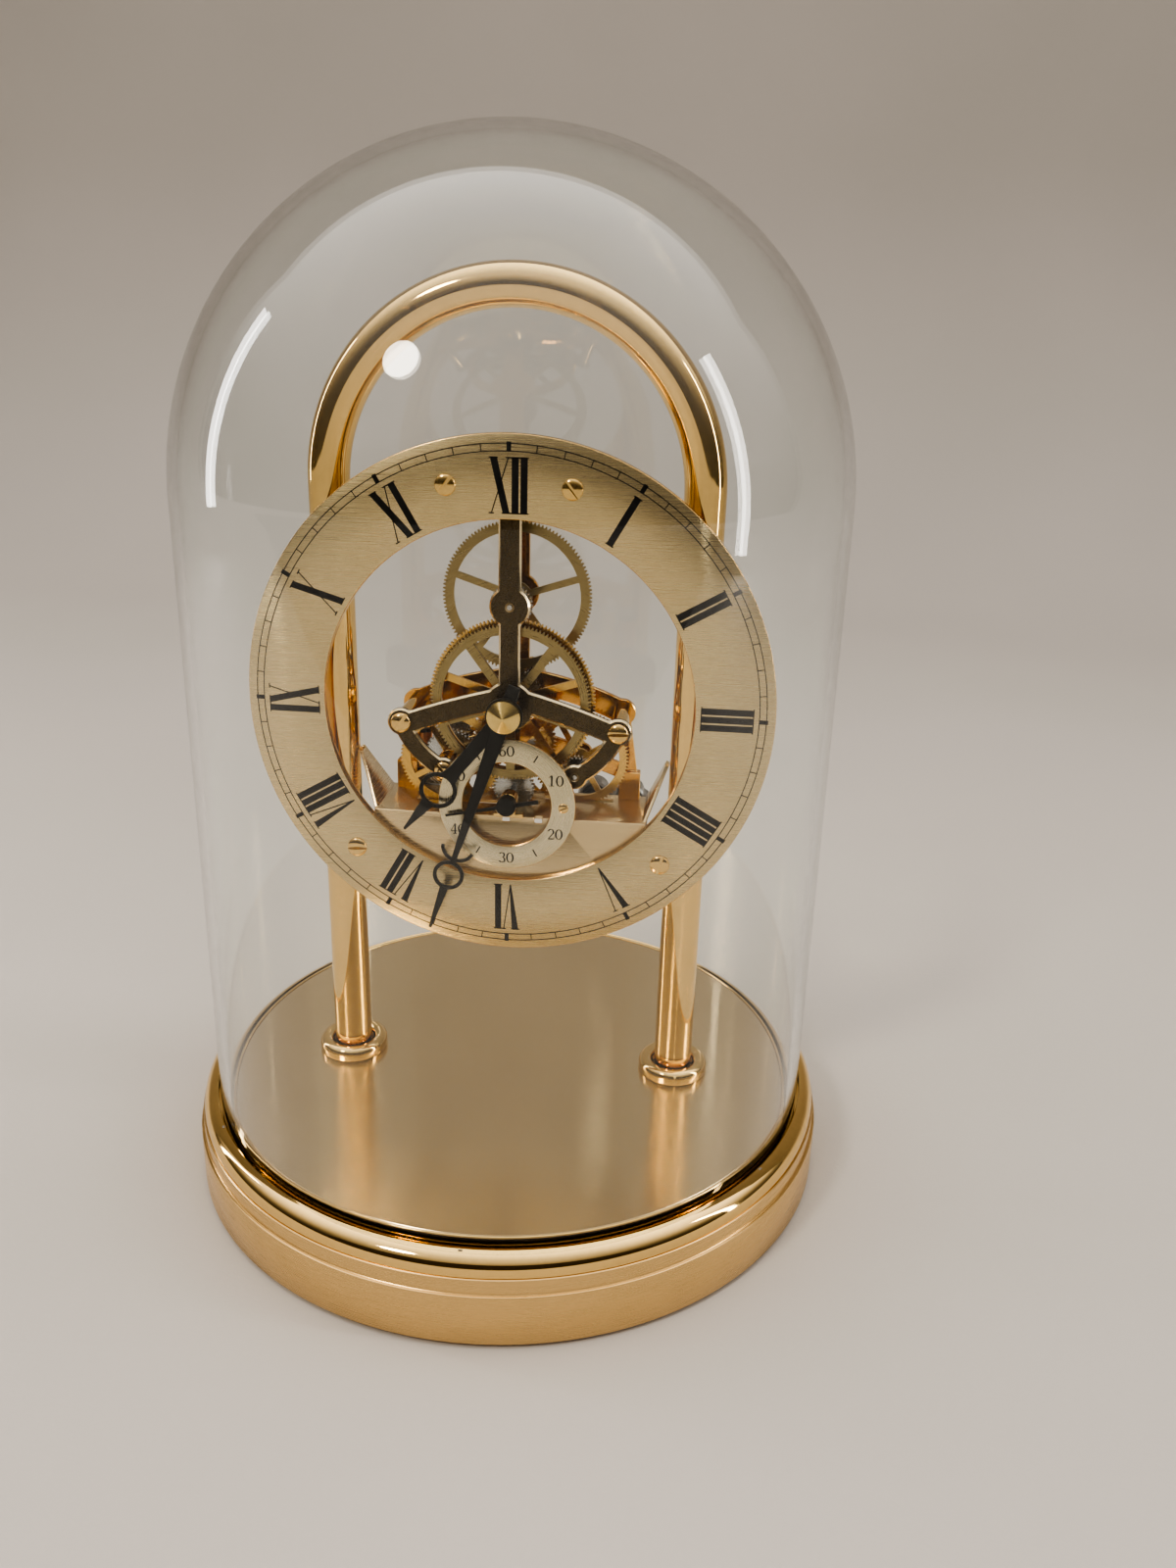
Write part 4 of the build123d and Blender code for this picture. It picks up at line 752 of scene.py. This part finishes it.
def dark_flag():
    """A dark card in front of the clock that only reflections see, as in metalware photography."""
    bm = bmesh.new()
    half, line = 1.8, ((-0.34, 0.004), (-1.3, 0.004), (-1.6, 0.8))
    rows = [[bm.verts.new((x, y, z)) for x in (-half, half)] for y, z in line]
    for low, high in zip(rows, rows[1:]):
        bm.faces.new((low[0], low[1], high[1], high[0]))
    mesh = bpy.data.meshes.new("dark_flag")
    bm.to_mesh(mesh)
    bm.free()
    mesh.materials.append(dielectric("flag_cloth", (0.030, 0.024, 0.020), (0.05, 0.04, 0.034), (0.8, 0.95),
                                     500, 1e-5))
    piece = bpy.data.objects.new("dark_flag", mesh)
    collection.objects.link(piece)
    piece.visible_camera = False
    piece.visible_diffuse = False
    piece.visible_shadow = False
    piece.visible_transmission = False


dark_flag()


def area_light(name, at, target, size, power, color=(1, 1, 1)):
    data = bpy.data.lights.new(name, "AREA")
    data.shape = "ELLIPSE" if size[0] == size[1] else "RECTANGLE"
    data.size, data.size_y = size
    data.energy = power
    data.color = color
    lamp = bpy.data.objects.new(name, data)
    lamp.location = at
    lamp.rotation_euler = (Vector(target) - Vector(at)).to_track_quat("-Z", "Y").to_euler()
    collection.objects.link(lamp)


area_light("key_light", (-0.50, -0.70, 0.90), (0, 0, 0.1), (0.20, 0.20), 3.2, (1.0, 0.92, 0.80))
area_light("right_strip", (0.80, -0.12, 0.36), (0, 0, 0.13), (0.05, 0.7), 1.5, (1.0, 0.96, 0.90))
area_light("left_strip", (-0.85, 0.15, 0.36), (0, 0, 0.13), (0.05, 0.6), 0.9, (1.0, 0.97, 0.94))

world = bpy.data.worlds.new("studio")
bpy.context.scene.world = world
world.use_nodes = True
sky = world.node_tree
direction = node(sky, "ShaderNodeTexCoord").outputs["Generated"]
split = node(sky, "ShaderNodeSeparateXYZ", {0: direction})
warmth = node(sky, "ShaderNodeValToRGB", {0: split.outputs[2]})
warmth.color_ramp.elements[0].color = (0.86, 0.76, 0.66, 1)
warmth.color_ramp.elements[1].color = (1.0, 0.965, 0.92, 1)
overhead = node(sky, "ShaderNodeMapRange", {"Value": split.outputs[2], "From Min": 0.12, "From Max": 1.0,
                                            "To Min": 0.13, "To Max": 1.75}, interpolation_type="SMOOTHSTEP")
behind = node(sky, "ShaderNodeMapRange", {"Value": split.outputs[1], "From Min": -0.5, "From Max": 0.4,
                                          "To Min": 0.5, "To Max": 1.2})
strength = node(sky, "ShaderNodeMath", {0: overhead.outputs[0], 1: behind.outputs[0]}, operation="MULTIPLY")
background = sky.nodes["Background"]
sky.links.new(warmth.outputs[0], background.inputs["Color"])
sky.links.new(strength.outputs[0], background.inputs["Strength"])

bpy.context.scene.view_settings.view_transform = "AgX"
bpy.context.scene.view_settings.look = "AgX - High Contrast"
